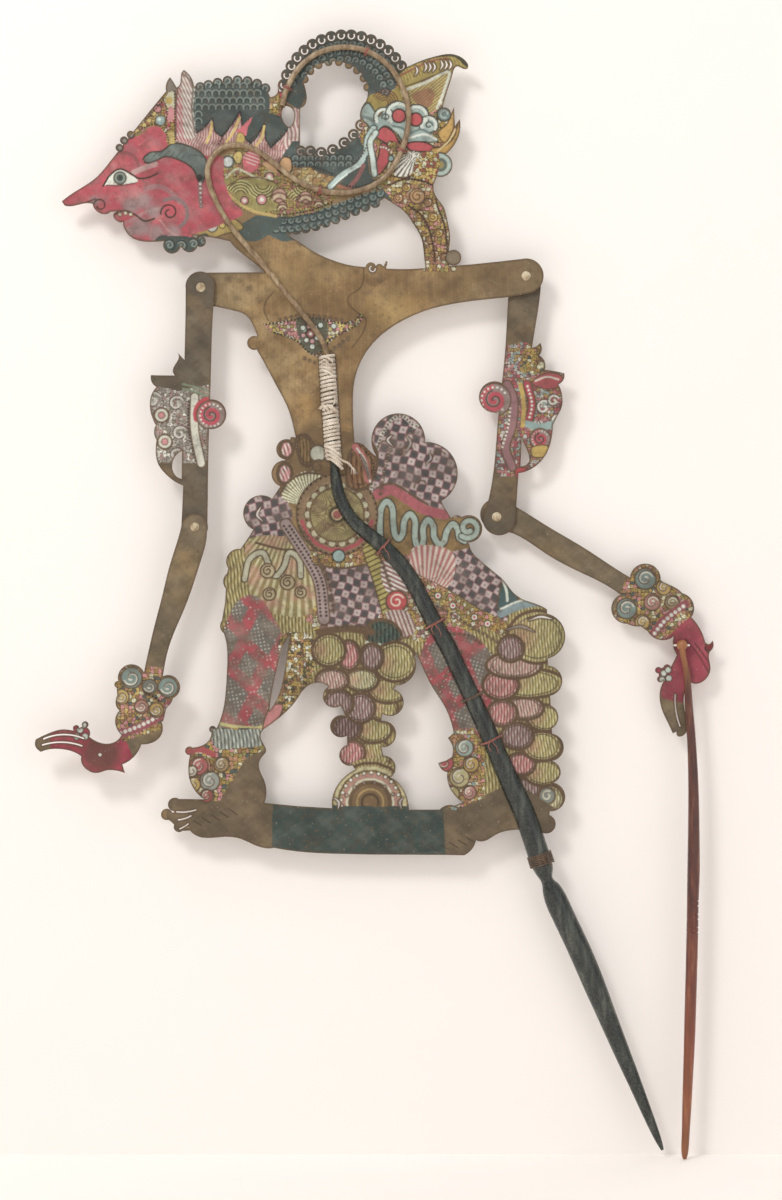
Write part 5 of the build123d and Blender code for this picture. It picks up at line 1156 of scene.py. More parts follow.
def paint_right_upper(c):
    whole = np.arange(len(c.p))
    c.mottle(whole, 13.0, (132, 106, 76), 0.7, 4.0)
    c.mottle(whole, 9.0, (118, 104, 86), 0.6, 2.0)
    c.mottle(whole, 3.0, (80, 70, 58), 0.4, 1.0)
    band = c.area([(-44, 318), (-14, 326), (12, 314), (16, 290), (10, 262), (-4, 246), (-28, 244),
                   (-46, 270), (-50, 296)], False)
    c.mosaic(band, 2.0, [(186, 128, 126), (200, 190, 180), MAUVE, (172, 92, 96), (168, 140, 92),
                         (150, 160, 154)], line=(84, 62, 54), seed=53, gilt=0.25)
    for x, z, r in ((-2, 286, 4.6), (6, 278, 3.6), (4, 290, 3.6), (-8, 308, 3.4), (0, 258, 3.4)):
        c.arc(x, z, r, 30, 420, (214, 206, 196), 1.3, rise=-r * 0.75)
        c.arc(x, z, r + 0.9, 30, 300, (78, 54, 50), 0.6, rise=-r * 0.5)
    c.fill([(-9, 301), (0, 307), (9, 305), (8, 299), (0, 297)], (164, 84, 86), edge=RIM)
    c.line([(-7, 302), (0, 304.6), (7, 303)], (214, 200, 188), 1.1)
    sash(c, [(-12, 300), (-9, 288), (-11, 278)], 4.0, (168, 76, 84), RIM)
    c.beads([(-12, 300), (-9, 288), (-11, 278)], WHITE, 0.8, 2.4)
    c.line([(-12, 276), (-4, 274), (4, 276)], TEAL, 4.4)
    rosette(c, -4, 267, 5.0)
    c.fill([(-9, 262), (0, 263), (2, 257), (-8, 256)], (196, 164, 100), edge=RIM, gilt=0.5)
    c.fill([(-19, 249), (-12, 249), (-13, 242), (-18, 243)], (178, 76, 80), edge=RIM)
    sash(c, [(-24, 300), (-20, 290), (-21, 275), (-25, 262), (-21, 250)], 4.4, (150, 110, 112), RIM)
    c.beads([(-26, 298), (-22.4, 289), (-23.4, 275), (-27, 262)], WHITE, 0.7, 2.4)
    c.line([(-16, 300), (-14, 288), (-14.6, 275)], (196, 164, 100), 2.6, gilt=0.5)
    rosette(c, -31.8, 290.6, 8.0)
    rows = c.area([(-16, 308), (-12, 324), (0, 322), (0, 308)])
    c.mosaic(rows, 2.0, GOLDS + [GREY], seed=55, gilt=0.5)


def paint_forearm(c):
    whole = np.arange(len(c.p))
    c.mottle(whole, 14.0, (146, 118, 82), 0.7, 6.0)
    c.mottle(whole, 9.0, (140, 120, 96), 0.7, 2.0)
    c.mottle(whole, 3.0, (92, 80, 64), 0.4, 4.0)


def paint_left_fore(c):
    paint_forearm(c)
    hand = c.area([(-300, 40), (-300, 112), (-262, 100), (-254, 84), (-244, 60), (-250, 30),
                   (-290, 30)], False)
    c.pattern(hand, (160, 66, 80))
    c.mottle(hand, 5.0, (184, 92, 100), 0.5, 2.0)
    rows = c.near((-288, 60), (-250, 94))
    gap = np.hypot(c.p[rows, 0] + 269, c.p[rows, 1] - 77)
    c.put(rows, np.clip((14 - gap) / 6, 0, 1) * 0.9, (106, 66, 60))
    for x in (-284, -277, -270, -263):
        c.line([(x, 66), (x - 1.6, 52), (x - 1, 40)], (92, 40, 48), 0.8)
    for x, z in ((-282, 91), (-279, 87), (-284, 87), (-280, 94)):
        c.disc(x, z, 2.0, (206, 206, 196), INK, 0.5)
    band = c.area([(-262, 130), (-214, 128), (-216, 106), (-232, 92), (-256, 84), (-266, 104)], False)
    c.mosaic(band, 2.2, GOLDS + [ROSE, GREY], seed=61, gilt=0.4)
    c.line([(-260, 88), (-248, 92), (-236, 98), (-228, 106)], (150, 84, 90), 5.2)
    c.beads([(-259, 88.6), (-248, 92.6), (-236, 98.6), (-228.6, 105.6)], WHITE, 1.2, 3.0)
    for x, z, r, tone in ((-257, 111, 4.6, (186, 158, 100)), (-236, 103, 4.4, (178, 146, 92)),
                          (-245, 105, 4.2, (168, 120, 110)), (-240, 117, 4.6, (110, 112, 104)),
                          (-251, 122.4, 6.4, (124, 136, 130)), (-229, 116.8, 6.0, (124, 136, 130))):
        scroll(c, x, z, r, tone, start=200)
    c.beads([(-243, 114), (-238, 111), (-233, 108)], INK, 0.8, 2.2)


def paint_right_fore(c):
    paint_forearm(c)
    hand = c.area([(62, 168), (80, 172), (110, 160), (124, 130), (110, 100), (70, 110), (58, 140),
                   (60, 158)], False)
    c.pattern(hand, (152, 68, 80))
    c.mottle(hand, 5.0, (176, 90, 98), 0.5, 1.0)
    for k in range(4):
        c.line([(84 + 6 * k, 146 - 3 * k), (92 + 6 * k, 136 - 4 * k), (98 + 5 * k, 126 - 5 * k)],
               (96, 46, 50), 0.8)
    band = c.area([(40, 160), (52, 194), (68, 196), (90, 178), (92, 164), (72, 146), (56, 146)], False)
    c.mosaic(band, 2.2, GOLDS + [ROSE, GREY], seed=63, gilt=0.4)
    for x, z, r, tone in ((58, 156, 4.6, (182, 150, 96)), (71, 177, 4.6, (182, 150, 96)),
                          (64, 168, 5.0, (168, 122, 112)), (76, 168, 4.4, (150, 132, 98)),
                          (59.8, 182.2, 6.4, (124, 136, 130)), (48.4, 164.2, 6.2, (124, 136, 130))):
        scroll(c, x, z, r, tone, start=20)
    c.line([(64, 148), (72, 158), (84, 167)], (150, 84, 90), 5.0)
    c.beads([(64.6, 148), (72.4, 157.6), (84, 166.4)], WHITE, 1.2, 3.0)
    for x, z in ((71, 125), (74, 122), (70, 121), (73.6, 127)):
        c.disc(x, z, 1.9, (206, 206, 196), INK, 0.5)
    c.fill([(96, 140), (100, 147), (106, 143), (102, 138)], (120, 44, 50), edge=INK)


# ------------------------------------------------------------------- hide mesh
def ring(x, z, r, count=9):
    a = np.linspace(0, 2 * math.pi, count, endpoint=False)
    return np.stack([x + r * np.cos(a), z + r * np.sin(a)], 1)


def slit(points, width):
    """Closed outline of a tapering cut along a curve."""
    path = smooth(points)
    step = np.gradient(path, axis=0)
    side = np.stack([-step[:, 1], step[:, 0]], 1) / np.hypot(*step.T)[:, None]
    swell = np.sin(np.linspace(0.12, math.pi - 0.12, len(path)))[:, None] * width / 2
    return np.concatenate([path + side * swell, (path - side * swell)[::-1]])


def row(points, pitch, r, curved=True):
    """Round holes punched along a line."""
    path = smooth(points) if curved else np.array(points, float)
    run = np.concatenate([[0], np.cumsum(np.hypot(*np.diff(path, axis=0).T))])
    return [ring(np.interp(s, run, path[:, 0]), np.interp(s, run, path[:, 1]), r)
            for s in np.arange(pitch / 2, run[-1], pitch)]


def pierced():
    """The small cuts of the body hide."""
    cuts = []
    cuts += row([(-163, 338.6), (-150, 341.2), (-138, 341), (-124, 338.6)], 3.4, 0.5)
    cuts += row([(-148, 316), (-137, 313), (-128, 322), (-118, 329)], 3.2, 0.5)
    cuts += row([(-206, 126), (-200, 142), (-192, 158)], 3.4, 0.5)
    cuts += row([(-70, 96), (-66, 110), (-60, 126), (-52, 138)], 3.4, 0.5)
    cuts += row([(-150, 214), (-143, 204), (-136, 190), (-131, 176), (-129, 160)], 3.2, 0.55)
    cuts += row([(-104, 205), (-99, 190), (-94, 176)], 3.0, 0.5)
    cuts += row([(-76, 171), (-58, 161), (-42, 151), (-30, 144)], 3.2, 0.5)
    cuts += row([(-128, 152.4), (-116, 153.6), (-106, 152.4)], 2.8, 0.45)
    cuts += row([(-60, 149), (-48, 148), (-40, 143)], 2.8, 0.45)
    cuts += row([(-101, 232), (-98, 250), (-94, 262)], 3.4, 0.5)
    for x, z, n in ((-81.4, 489.6, 2), (-73.4, 491.8, 3), (-63.6, 493.2, 3)):
        for k in range(n):
            cuts.append(slit([(x + 2.6 * k - 1.0, z - 3.0), (x + 2.6 * k + 0.4, z),
                              (x + 2.6 * k - 0.8, z + 3.0)], 1.1))
    for points in ([(-94, 269), (-96.4, 266), (-93, 262)], [(-85, 269), (-82.6, 264), (-87, 257)],
                   [(-73, 252), (-70.4, 255), (-71, 258)], [(-173, 226), (-175.4, 221), (-172, 217)],
                   [(-25, 151.4), (-16, 153.4), (-8, 150.4)], [(-11, 157), (-4, 159.2), (3, 158)],
                   [(-113, 257), (-109.6, 250), (-107.6, 243)], [(-129, 50), (-126, 47), (-126.4, 43)],
                   [(-87, 50), (-89, 47), (-88, 43)]):
        cuts.append(slit(points, 1.3))
    for k in range(8):
        a = math.radians(165 - 21 * k)
        x, z = -107 + 17.6 * math.cos(a), 40 + 19 * math.sin(a)
        cuts.append(ring(x, z, 0.6))
    return cuts


def build_hide(name, ground, paint, cuts, body):
    loops, front, rear = hide_loops(name)
    segments = np.concatenate([to_segments(loop) for loop in loops])
    kept = []
    for cut in cuts:
        if inside(cut, segments).all() and distance(cut, segments).min() > CUT_GAP:
            if not kept or min(distance(cut, to_segments(k)).min() for k in kept
                               if np.hypot(*(k.mean(0) - cut.mean(0))) < 9.0 or k is kept[0]) > CUTS_APART:
                kept.append(cut)
    fine = []
    for loop in loops + kept:
        parts = []
        for a, b in zip(loop, np.roll(loop, -1, 0)):
            count = max(1, int(np.hypot(*(b - a)) / CHORD + 0.5))
            parts.append(a + (b - a) * np.arange(count)[:, None] / count)
        fine.append(np.concatenate(parts))
    segments = np.concatenate([to_segments(loop) for loop in fine])
    rim = np.concatenate(fine)
    firsts = np.cumsum([0] + [len(loop) for loop in fine])
    links = []
    for first, last in zip(firsts[:-1], firsts[1:]):
        ids = np.arange(first, last)
        links += list(zip(ids.tolist(), np.roll(ids, -1).tolist()))
    step = LATTICE
    low, high = rim.min(0), rim.max(0)
    gx, gz = np.meshgrid(np.arange(low[0], high[0], step), np.arange(low[1], high[1], step * 0.866))
    gx = gx + (np.arange(gx.shape[0]) % 2)[:, None] * step / 2
    field = np.stack([gx.ravel(), gz.ravel()], 1)
    field = field[inside(field, segments)]
    gap = edge_distance(field, segments, 4.0)
    field = field[gap > LATTICE_GAP]
    flat = np.concatenate([rim, field])
    out = geometry.delaunay_2d_cdt([Vector(p) for p in flat.tolist()], links, [], 0, 1e-5)
    flat = np.array([v[:] for v in out[0]])
    faces = np.array(out[2])
    faces = faces[inside(flat[faces].mean(1), segments)]
    turn = np.cross(flat[faces[:, 1]] - flat[faces[:, 0]], flat[faces[:, 2]] - flat[faces[:, 0]])
    faces[turn < 0] = faces[turn < 0][:, ::-1]

    canvas = Canvas(flat, ground)
    paint(canvas)
    gap = edge_distance(flat, segments, 3.0)
    cover = np.clip((RIM_REACH - gap) / RIM_FADE, 0, 1) * RIM_SHARE
    rows = np.flatnonzero(cover > 0)
    canvas.put(rows, cover[rows], RIM)
    canvas.depth[gap < 0.5] = 0

    n = len(flat)
    y = np.full(n, front) + canvas.depth * ENGRAVED
    near = np.column_stack([flat[:, 0], y, flat[:, 1]])
    far = np.column_stack([flat[:, 0], np.full(n, rear), flat[:, 1]])
    sides = {}
    for a, b, c in faces.tolist():
        for e in ((a, b), (b, c), (c, a)):
            sides[e] = 1
    border = np.array([e for e in sides if (e[1], e[0]) not in sides])
    lips = np.unique(border)
    place = np.full(n, -1)
    place[lips] = np.arange(len(lips))
    wall_f, wall_b = near[lips], far[lips]
    verts = np.concatenate([near, far, wall_f, wall_b]) * MM
    k = len(lips)
    polys = [*faces.tolist(), *(faces[:, ::-1] + n).tolist()]
    for a, b in border.tolist():
        i, j = place[a], place[b]
        polys.append([2 * n + i, 2 * n + k + i, 2 * n + k + j, 2 * n + j])
    mesh = bpy.data.meshes.new(name + "_hide")
    mesh.from_pydata(verts.tolist(), [], polys)
    mesh.update()
    rgb = np.clip(canvas.rgb, 0, 255) / 255
    linear = np.where(rgb < 0.04, rgb / 12.92, ((rgb + 0.055) / 1.055) ** 2.4)
    back = linear * 0.82 + np.array((0.20, 0.14, 0.08)) * 0.06
    lip = np.tile(np.array((0.165, 0.108, 0.062)), (2 * k, 1))
    colour = np.concatenate([linear, back, lip])
    gilt = np.concatenate([canvas.gilt, canvas.gilt * 0.5, np.zeros(2 * k)])
    data = np.column_stack([colour, gilt]).astype(np.float32)
    paintwork = mesh.color_attributes.new("paint", "FLOAT_COLOR", "POINT")
    paintwork.data.foreach_set("color", data.ravel())
    piece = bpy.data.objects.new(name + "_hide", mesh)
    bpy.context.scene.collection.objects.link(piece)
    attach(piece, body)
    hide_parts(name)
    return piece


# ------------------------------------------------------------------- materials
class Shader:
    """Short way to lay out shader nodes."""

    def __init__(self, name):
        self.mat = bpy.data.materials.new(name)
        self.mat.use_nodes = True
        self.tree = self.mat.node_tree
        self.bsdf = self.tree.nodes["Principled BSDF"]

    def node(self, kind, sockets=None, **props):
        made = self.tree.nodes.new(kind)
        for key, value in props.items():
            setattr(made, key, value)
        for key, value in (sockets or {}).items():
            self.feed(made.inputs[key], value)
        return made

    def feed(self, socket, value):
        if isinstance(value, bpy.types.NodeSocket):
            self.tree.links.new(value, socket)
        else:
            socket.default_value = value

    def coords(self, scale=(1, 1, 1)):
        where = self.node("ShaderNodeTexCoord").outputs["Object"]
        return self.node("ShaderNodeMapping", {"Vector": where, "Scale": scale}).outputs[0]

    def noise(self, scale, detail=3.0, rough=0.55, vector=None):
        made = self.node("ShaderNodeTexNoise", {"Scale": scale, "Detail": detail,
                                                "Roughness": rough})
        self.feed(made.inputs["Vector"], vector or self.coords())
        return made.outputs["Fac"]

    def ramp(self, value, stops):
        made = self.node("ShaderNodeValToRGB", {"Fac": value})
        cells = made.color_ramp.elements
        while len(cells) < len(stops):
            cells.new(0.5)
        for cell, (spot, colour) in zip(cells, stops):
            cell.position = spot
            cell.color = (*colour, 1) if len(colour) == 3 else colour
        return made.outputs["Color"]

    def mix(self, share, a, b, kind="MIX"):
        made = self.node("ShaderNodeMix", data_type="RGBA", blend_type=kind)
        self.feed(made.inputs[0], share)
        for socket, value in ((made.inputs[6], a), (made.inputs[7], b)):
            self.feed(socket, (*value, 1) if isinstance(value, tuple) and len(value) == 3 else value)
        return made.outputs[2]

    def maths(self, kind, a, b=0.0, clamp=False):
        made = self.node("ShaderNodeMath", operation=kind, use_clamp=clamp)
        self.feed(made.inputs[0], a)
        self.feed(made.inputs[1], b)
        return made.outputs[0]

    def range(self, value, a, b, c, d):
        made = self.node("ShaderNodeMapRange", {"Value": value, "From Min": a, "From Max": b,
                                                "To Min": c, "To Max": d})
        return made.outputs[0]

    def bump(self, height, strength, distance):
        made = self.node("ShaderNodeBump", {"Height": height, "Strength": strength,
                                            "Distance": distance})
        self.feed(self.bsdf.inputs["Normal"], made.outputs[0])

    def surface(self, colour, rough):
        self.feed(self.bsdf.inputs["Base Color"], colour)
        self.feed(self.bsdf.inputs["Roughness"], rough)
        return self.mat


def srgb(r, g, b):
    return tuple((v / 255 / 12.92) if v < 10 else ((v / 255 + 0.055) / 1.055) ** 2.4
                 for v in (r, g, b))


def hide_material(name, seed):
    s = Shader(name)
    paint = s.node("ShaderNodeVertexColor", layer_name="paint")
    where = s.coords()
    shift = s.node("ShaderNodeMapping", {"Vector": where, "Location": (seed, 0, seed)}).outputs[0]
    soft = s.noise(46, 4, 0.6, shift)
    fine = s.noise(520, 3, 0.6, shift)
    grain = s.noise(2100, 2, 0.5, shift)
    tone = s.range(soft, 0.3, 0.7, 0.72, 1.18)
    warm = s.maths("MULTIPLY", tone, 0.93)
    tint = s.node("ShaderNodeCombineColor", {"Red": warm, "Green": tone, "Blue": tone}).outputs[0]
    colour = s.mix(1.0, paint.outputs["Color"], tint, "MULTIPLY")
    worn = s.range(fine, 0.60, 0.72, 0.0, 0.55)
    colour = s.mix(worn, colour, srgb(112, 88, 64))
    grime = s.range(s.noise(150, 5, 0.65, shift), 0.50, 0.68, 0.0, 0.42)
    colour = s.mix(grime, colour, srgb(84, 70, 56))
    specks = s.range(grain, 0.66, 0.74, 0.0, 0.5)
    colour = s.mix(specks, colour, srgb(52, 42, 34))
    pale = s.range(s.noise(900, 2, 0.5, shift), 0.68, 0.76, 0.0, 0.35)
    colour = s.mix(pale, colour, srgb(206, 190, 160))
    rough = s.range(fine, 0.3, 0.7, 0.42, 0.62)
    rough = s.maths("SUBTRACT", rough, s.maths("MULTIPLY", paint.outputs["Alpha"], 0.18), True)
    height = s.maths("ADD", s.maths("MULTIPLY", fine, 0.6), s.maths("MULTIPLY", grain, 0.4))
    s.bump(height, 0.5, 0.00012)
    s.bsdf.inputs["Specular IOR Level"].default_value = 0.32
    return s.surface(colour, rough)


def horn_material(name, deep, mid, light, rough, along=(60, 60, 9), streak=5.0):
    s = Shader(name)
    vector = s.coords(along)
    long = s.noise(streak, 5, 0.6, vector)
    wide = s.noise(26, 3, 0.5)
    colour = s.ramp(long, [(0.32, deep), (0.5, mid), (0.72, light)])
    colour = s.mix(s.range(wide, 0.35, 0.7, 0.0, 0.55), colour, deep)
    fine = s.noise(600, 2, 0.5)
    colour = s.mix(s.range(fine, 0.62, 0.75, 0.0, 0.35), colour, light)
    s.bump(s.maths("ADD", long, s.maths("MULTIPLY", fine, 0.35)), 0.35, 0.00025)
    s.bsdf.inputs["Coat Weight"].default_value = 0.25
    s.bsdf.inputs["Coat Roughness"].default_value = 0.25
    return s.surface(colour, s.range(fine, 0.3, 0.7, rough - 0.07, rough + 0.1))


def red_horn_material():
    s = Shader("red_horn")
    where = s.node("ShaderNodeTexCoord").outputs["Object"]
    z = s.node("ShaderNodeSeparateXYZ", {"Vector": where}).outputs["Z"]
    long = s.noise(6, 5, 0.6, s.coords((60, 60, 7)))
    body = s.ramp(s.range(z, -0.168, 0.142, 0.0, 1.0),
                  [(0.0, srgb(150, 92, 52)), (0.2, srgb(140, 70, 42)), (0.42, srgb(96, 40, 30)),
                   (0.62, srgb(70, 38, 34)), (0.9, srgb(84, 46, 38)), (1.0, srgb(170, 112, 62))])
    streaks = s.ramp(long, [(0.36, srgb(40, 22, 20)), (0.55, srgb(120, 66, 46)),
                            (0.75, srgb(196, 140, 96))])
    colour = s.mix(0.36, body, streaks)
    fine = s.noise(700, 2, 0.5)
    s.bump(s.maths("ADD", long, s.maths("MULTIPLY", fine, 0.3)), 0.3, 0.0002)
    s.bsdf.inputs["Coat Weight"].default_value = 0.35
    s.bsdf.inputs["Coat Roughness"].default_value = 0.2
    return s.surface(colour, s.range(fine, 0.3, 0.7, 0.28, 0.42))


def bone_material():
    s = Shader("bone")
    wide = s.noise(260, 4, 0.6)
    fine = s.noise(1500, 3, 0.6)
    colour = s.ramp(wide, [(0.35, srgb(150, 128, 98)), (0.55, srgb(206, 190, 160)),
                           (0.7, srgb(226, 214, 190))])
    colour = s.mix(s.range(fine, 0.6, 0.72, 0.0, 0.6), colour, srgb(96, 74, 54))
    s.bump(s.maths("ADD", wide, fine), 0.4, 0.0001)
    return s.surface(colour, s.range(fine, 0.3, 0.7, 0.38, 0.55))


def fibre_material(name, dark, light):
    s = Shader(name)
    wide = s.noise(140, 3, 0.6)
    fine = s.noise(1800, 3, 0.6)
    colour = s.ramp(s.maths("ADD", s.maths("MULTIPLY", wide, 0.6), s.maths("MULTIPLY", fine, 0.4)),
                    [(0.36, dark), (0.6, light)])
    s.bump(fine, 0.6, 0.00015)
    s.bsdf.inputs["Sheen Weight"].default_value = 0.3
    return s.surface(colour, s.range(fine, 0.3, 0.7, 0.72, 0.9))


# -------------------------------------------------------------------- windings
class Yarn:
    """Collects twisted strands into one mesh, mm."""

    def __init__(self):
        self.verts, self.faces = [], []

    def tube(self, path, radius, sides=7, taper=None):
        path = np.array(path, float)
        step = np.gradient(path, axis=0)
        step /= np.maximum(np.linalg.norm(step, axis=1), 1e-9)[:, None]
        up = np.array((0.31, 0.2, 0.93))
        first = sum(len(v) for v in self.verts)
        radius = np.broadcast_to(np.asarray(radius, float), (len(path),)).copy()
        if taper:
            radius *= np.clip(np.linspace(1, taper, len(path)), 0.05, 1)
        side = np.cross(step, up)
        side /= np.maximum(np.linalg.norm(side, axis=1), 1e-9)[:, None]
        lift = np.cross(step, side)
        a = np.linspace(0, 2 * math.pi, sides, endpoint=False)
        rings = (path[:, None] + (side[:, None] * np.cos(a)[:, None] + lift[:, None]
                 * np.sin(a)[:, None]) * radius[:, None, None])
        self.verts.append(rings.reshape(-1, 3))
        for i in range(len(path) - 1):
            for j in range(sides):
                p, q = first + i * sides + j, first + i * sides + (j + 1) % sides
                self.faces.append([p, p + sides, q + sides, q])
        self.faces.append(list(range(first, first + sides)))
        end = first + (len(path) - 1) * sides
        self.faces.append(list(range(end, end + sides))[::-1])

    def plied(self, path, radius, pitch, plies=2, sides=6):
        """Strands twisted round each other along a path."""
        path = np.array(path, float)
        run = np.concatenate([[0], np.cumsum(np.linalg.norm(np.diff(path, axis=0), axis=1))])
        count = max(8, int(run[-1] / (pitch / 8)))
        s = np.linspace(0, run[-1], count)
        path = np.stack([np.interp(s, run, path[:, k]) for k in range(3)], 1)
        step = np.gradient(path, axis=0)
        step /= np.maximum(np.linalg.norm(step, axis=1), 1e-9)[:, None]
        up = np.array((0.31, 0.2, 0.93))
        side = np.cross(step, up)
        side /= np.maximum(np.linalg.norm(side, axis=1), 1e-9)[:, None]
        lift = np.cross(step, side)
        ply = radius * (0.56 if plies == 2 else 0.47)
        off = radius - ply
        for k in range(plies):
            a = 2 * math.pi * (s / pitch + k / plies)
            centre = path + (side * np.cos(a)[:, None] + lift * np.sin(a)[:, None]) * off
            self.tube(centre, ply, sides)

    def piece(self, name, body, node, slot, material):
        mesh = bpy.data.meshes.new(name)
        mesh.from_pydata((np.concatenate(self.verts) * MM).tolist(), [], self.faces)
        mesh.update()
        mesh.polygons.foreach_set("use_smooth", [True] * len(mesh.polygons))
        mesh.materials.append(material)
        made = bpy.data.objects.new(name, mesh)
        bpy.context.scene.collection.objects.link(made)
        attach(made, body)
        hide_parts(node)
        return made


def wave(seed, count):
    """Repeatable unevenness."""
    h = np.sin(np.arange(count) * 12.9898 + seed * 78.233) * 43758.5453
    return (h - np.floor(h)) * 2 - 1


def coil(centre_low, centre_high, half_a, half_b, turns, wobble, seed):
    """Oval coil that climbs between two spots (x, z), as points (x, y, z)."""
    count = int(turns * 32)
    t = np.linspace(0, 1, count)
    a = 2 * math.pi * turns * t
    x = centre_low[0] + (centre_high[0] - centre_low[0]) * t
    z = centre_low[1] + (centre_high[1] - centre_low[1]) * t
    jitter = np.interp(t * turns, np.arange(turns + 2), wave(seed, turns + 2)) * wobble
    ra = np.interp(t * turns, np.arange(turns + 2), half_a + np.abs(wave(seed + 3, turns + 2)) * wobble)
    return np.stack([x + ra * np.cos(a), half_b * np.sin(a), z + jitter + np.cos(a) * 0.35], 1)


def waist_binding(material):
    y = Yarn()
    for low, high, turns, seed in (((-129.3, 255.6), (-131.2, 283.2), 12, 1),
                                   ((-131.6, 287.4), (-133.2, 316.6), 12, 2)):
        y.plied(coil(low, high, 3.8, 5.5, turns, 0.5, seed), 1.12, 6.2, 3)
    # the knot between the two runs, and the bunch of slanted wraps below
    for k, (dx, dz) in enumerate(((-2.6, 0.6), (-0.6, -0.4), (1.6, 0.8))):
        path = smooth([(-134.6 + dx, -5.2, 284.2 + dz), (-132.6 + dx, -6.7, 286.6),
                       (-130.2 + dx, -6.6, 285.0 - dz), (-129.4 + dx, -5.0, 282.8)])
        y.plied(path, 1.0, 5.0, 3)
    for k in range(4):
        z = 262.4 - 2.5 * k
        path = smooth([(-134.2 + 0.5 * k, -3.6, z), (-131.4 + 0.5 * k, -6.5, z - 1.0),
                       (-127.2 + 0.4 * k, -6.6, z - 4.2), (-124.6 + 0.3 * k, -4.2, z - 6.4)])
        y.plied(path, 1.05, 5.6, 3)
    for k in range(5):
        z = 315.6 - 2.1 * k
        lean = wave(11, 5)[k]
        path = smooth([(-136.4, -4.0, z + lean), (-134.4, -6.5, z + 0.6), (-131.6, -6.6, z - 1.4 + lean),
                       (-129.6, -4.4, z - 2.6)])
        y.plied(path, 0.95, 5.2, 3)
    path = smooth([(-130.0, -5.6, 286.6), (-128.4, -6.2, 288.6), (-128.2, -5.6, 291.8)])
    y.plied(path, 0.42, 2.4, 2)
    path = smooth([(-127.0, -5.8, 255.6), (-123.4, -6.5, 253.4), (-120.4, -6.2, 252.0),
                   (-118.6, -5.6, 250.2)])
    y.plied(path, 0.8, 4.0, 3)
    for k in range(7):
        lean = wave(31, 7)[k]
        path = smooth([(-119.0, -5.7, 250.6), (-117.2 + lean, -5.9, 248.2),
                       (-116.4 + 1.8 * lean, -5.6 + 0.5 * lean, 245.2)])
        y.tube(path, 0.16, 5, 0.4)
    return y.piece("waist_string", "puppet", "waist_binding", "cotton_string", material)


def thread_tie(name, centre, along, half_a, half_b, turns, material, seed, radius=0.42,
               tail=True, body="puppet", slot="tie_thread", plies=2):
    """A few turns round a rod, square to its line, with a knot at the front."""
    y = Yarn()
    across = np.array((along[1], -along[0]))
    count = turns * 40
    t = np.linspace(0, 1, count)
    a = 2 * math.pi * turns * t
    reach = radius * 1.9 * (turns - 1) / 2
    shift = (t - 0.5) * 2 * reach + 0.12 * np.sin(3 * a + seed)
    x = centre[0] + across[0] * half_a * np.cos(a) + along[0] * shift
    z = centre[1] + across[1] * half_a * np.cos(a) + along[1] * shift
    y.plied(np.stack([x, half_b * np.sin(a), z], 1), radius, radius * 4.6, plies)
    if tail:
        front = -half_b
        loop = np.linspace(0, 2 * math.pi * 1.6, 40)
        knot = np.stack([centre[0] + (radius * 1.2 + 0.1 * loop / 6) * np.cos(loop),
                         front - radius * 0.55 - 0.05 * loop,
                         centre[1] + radius * 1.2 * np.sin(loop)], 1)
        y.plied(knot, radius * 0.85, radius * 4, plies)
        for k, lean in enumerate((-1.0, 0.8)):
            path = smooth([(centre[0] + lean * 0.6, front - radius * 0.6, centre[1] - 0.4),
                           (centre[0] + lean * 1.6, front - radius, centre[1] - 2.0),
                           (centre[0] + lean * 2.6 + 0.6, front - 0.1 * radius, centre[1] - 3.6),
                           (centre[0] + lean * 2.6 + 1.6, front + 0.2, centre[1] - 5.2 - k)])
            y.plied(path, radius * 0.7, radius * 4, 2, 5)
            for n in range(3):
                flare = smooth([path[-1], path[-1] + (0.5 * n - 0.4, -0.15 * n, -0.9),
                                path[-1] + (0.9 * n - 0.7, -0.1, -1.8)])
                y.tube(flare, radius * 0.22, 4, 0.4)
    return y.piece(name + "_thread", body, name, slot, material)


def grip_cord(material):
    y = Yarn()
    low, high = np.array((-2.8, 9.0)), np.array((-4.9, 15.8))
    turns = 6
    t = np.linspace(0, 1, turns * 40)
    a = 2 * math.pi * turns * t
    x = low[0] + (high[0] - low[0]) * t + 7.25 * np.cos(a) * 0.955
    z = low[1] + (high[1] - low[1]) * t + 7.25 * np.cos(a) * 0.30 + 0.1 * np.sin(5 * a)
    y.plied(np.stack([x, 6.55 * np.sin(a), z], 1), 0.55, 2.6, 2)
    for k in range(3):
        path = smooth([(-6.0 + 3.0 * k, -5.9, 15.4), (-5.0 + 3.0 * k, -7.3, 12.4),
                       (-3.6 + 3.0 * k, -6.2, 9.0)])
        y.plied(path, 0.42, 2.2, 2)
    return y.piece("grip_cord_winding", "puppet", "grip_winding", "grip_cord", material)


MAIN_ROD_SPOTS = {"rod_tie_high": ((-99.0, 201.5), (-0.745, 0.667), 5.6, 5.6),
                  "rod_tie_middle": ((-68.0, 155.0), (-0.48, 0.877), 6.1, 6.1),
                  "rod_tie_wire": ((-45.4, 110.5), (-0.422, 0.907), 6.1, 6.1),
                  "rod_tie_low": ((-33.6, 84.6), (-0.409, 0.912), 6.4, 6.4)}
RIB_SPOTS = {"rib_tie_neck": ((-137.5, 417.0), (0.964, -0.266)),
             "rib_tie_crown": ((-88.0, 441.0), (0.372, 0.928)),
             "rib_tie_top": ((-109.0, 501.0), (-0.909, 0.418)),
             "rib_tie_end": ((-157.0, 479.0), (-0.465, -0.885))}


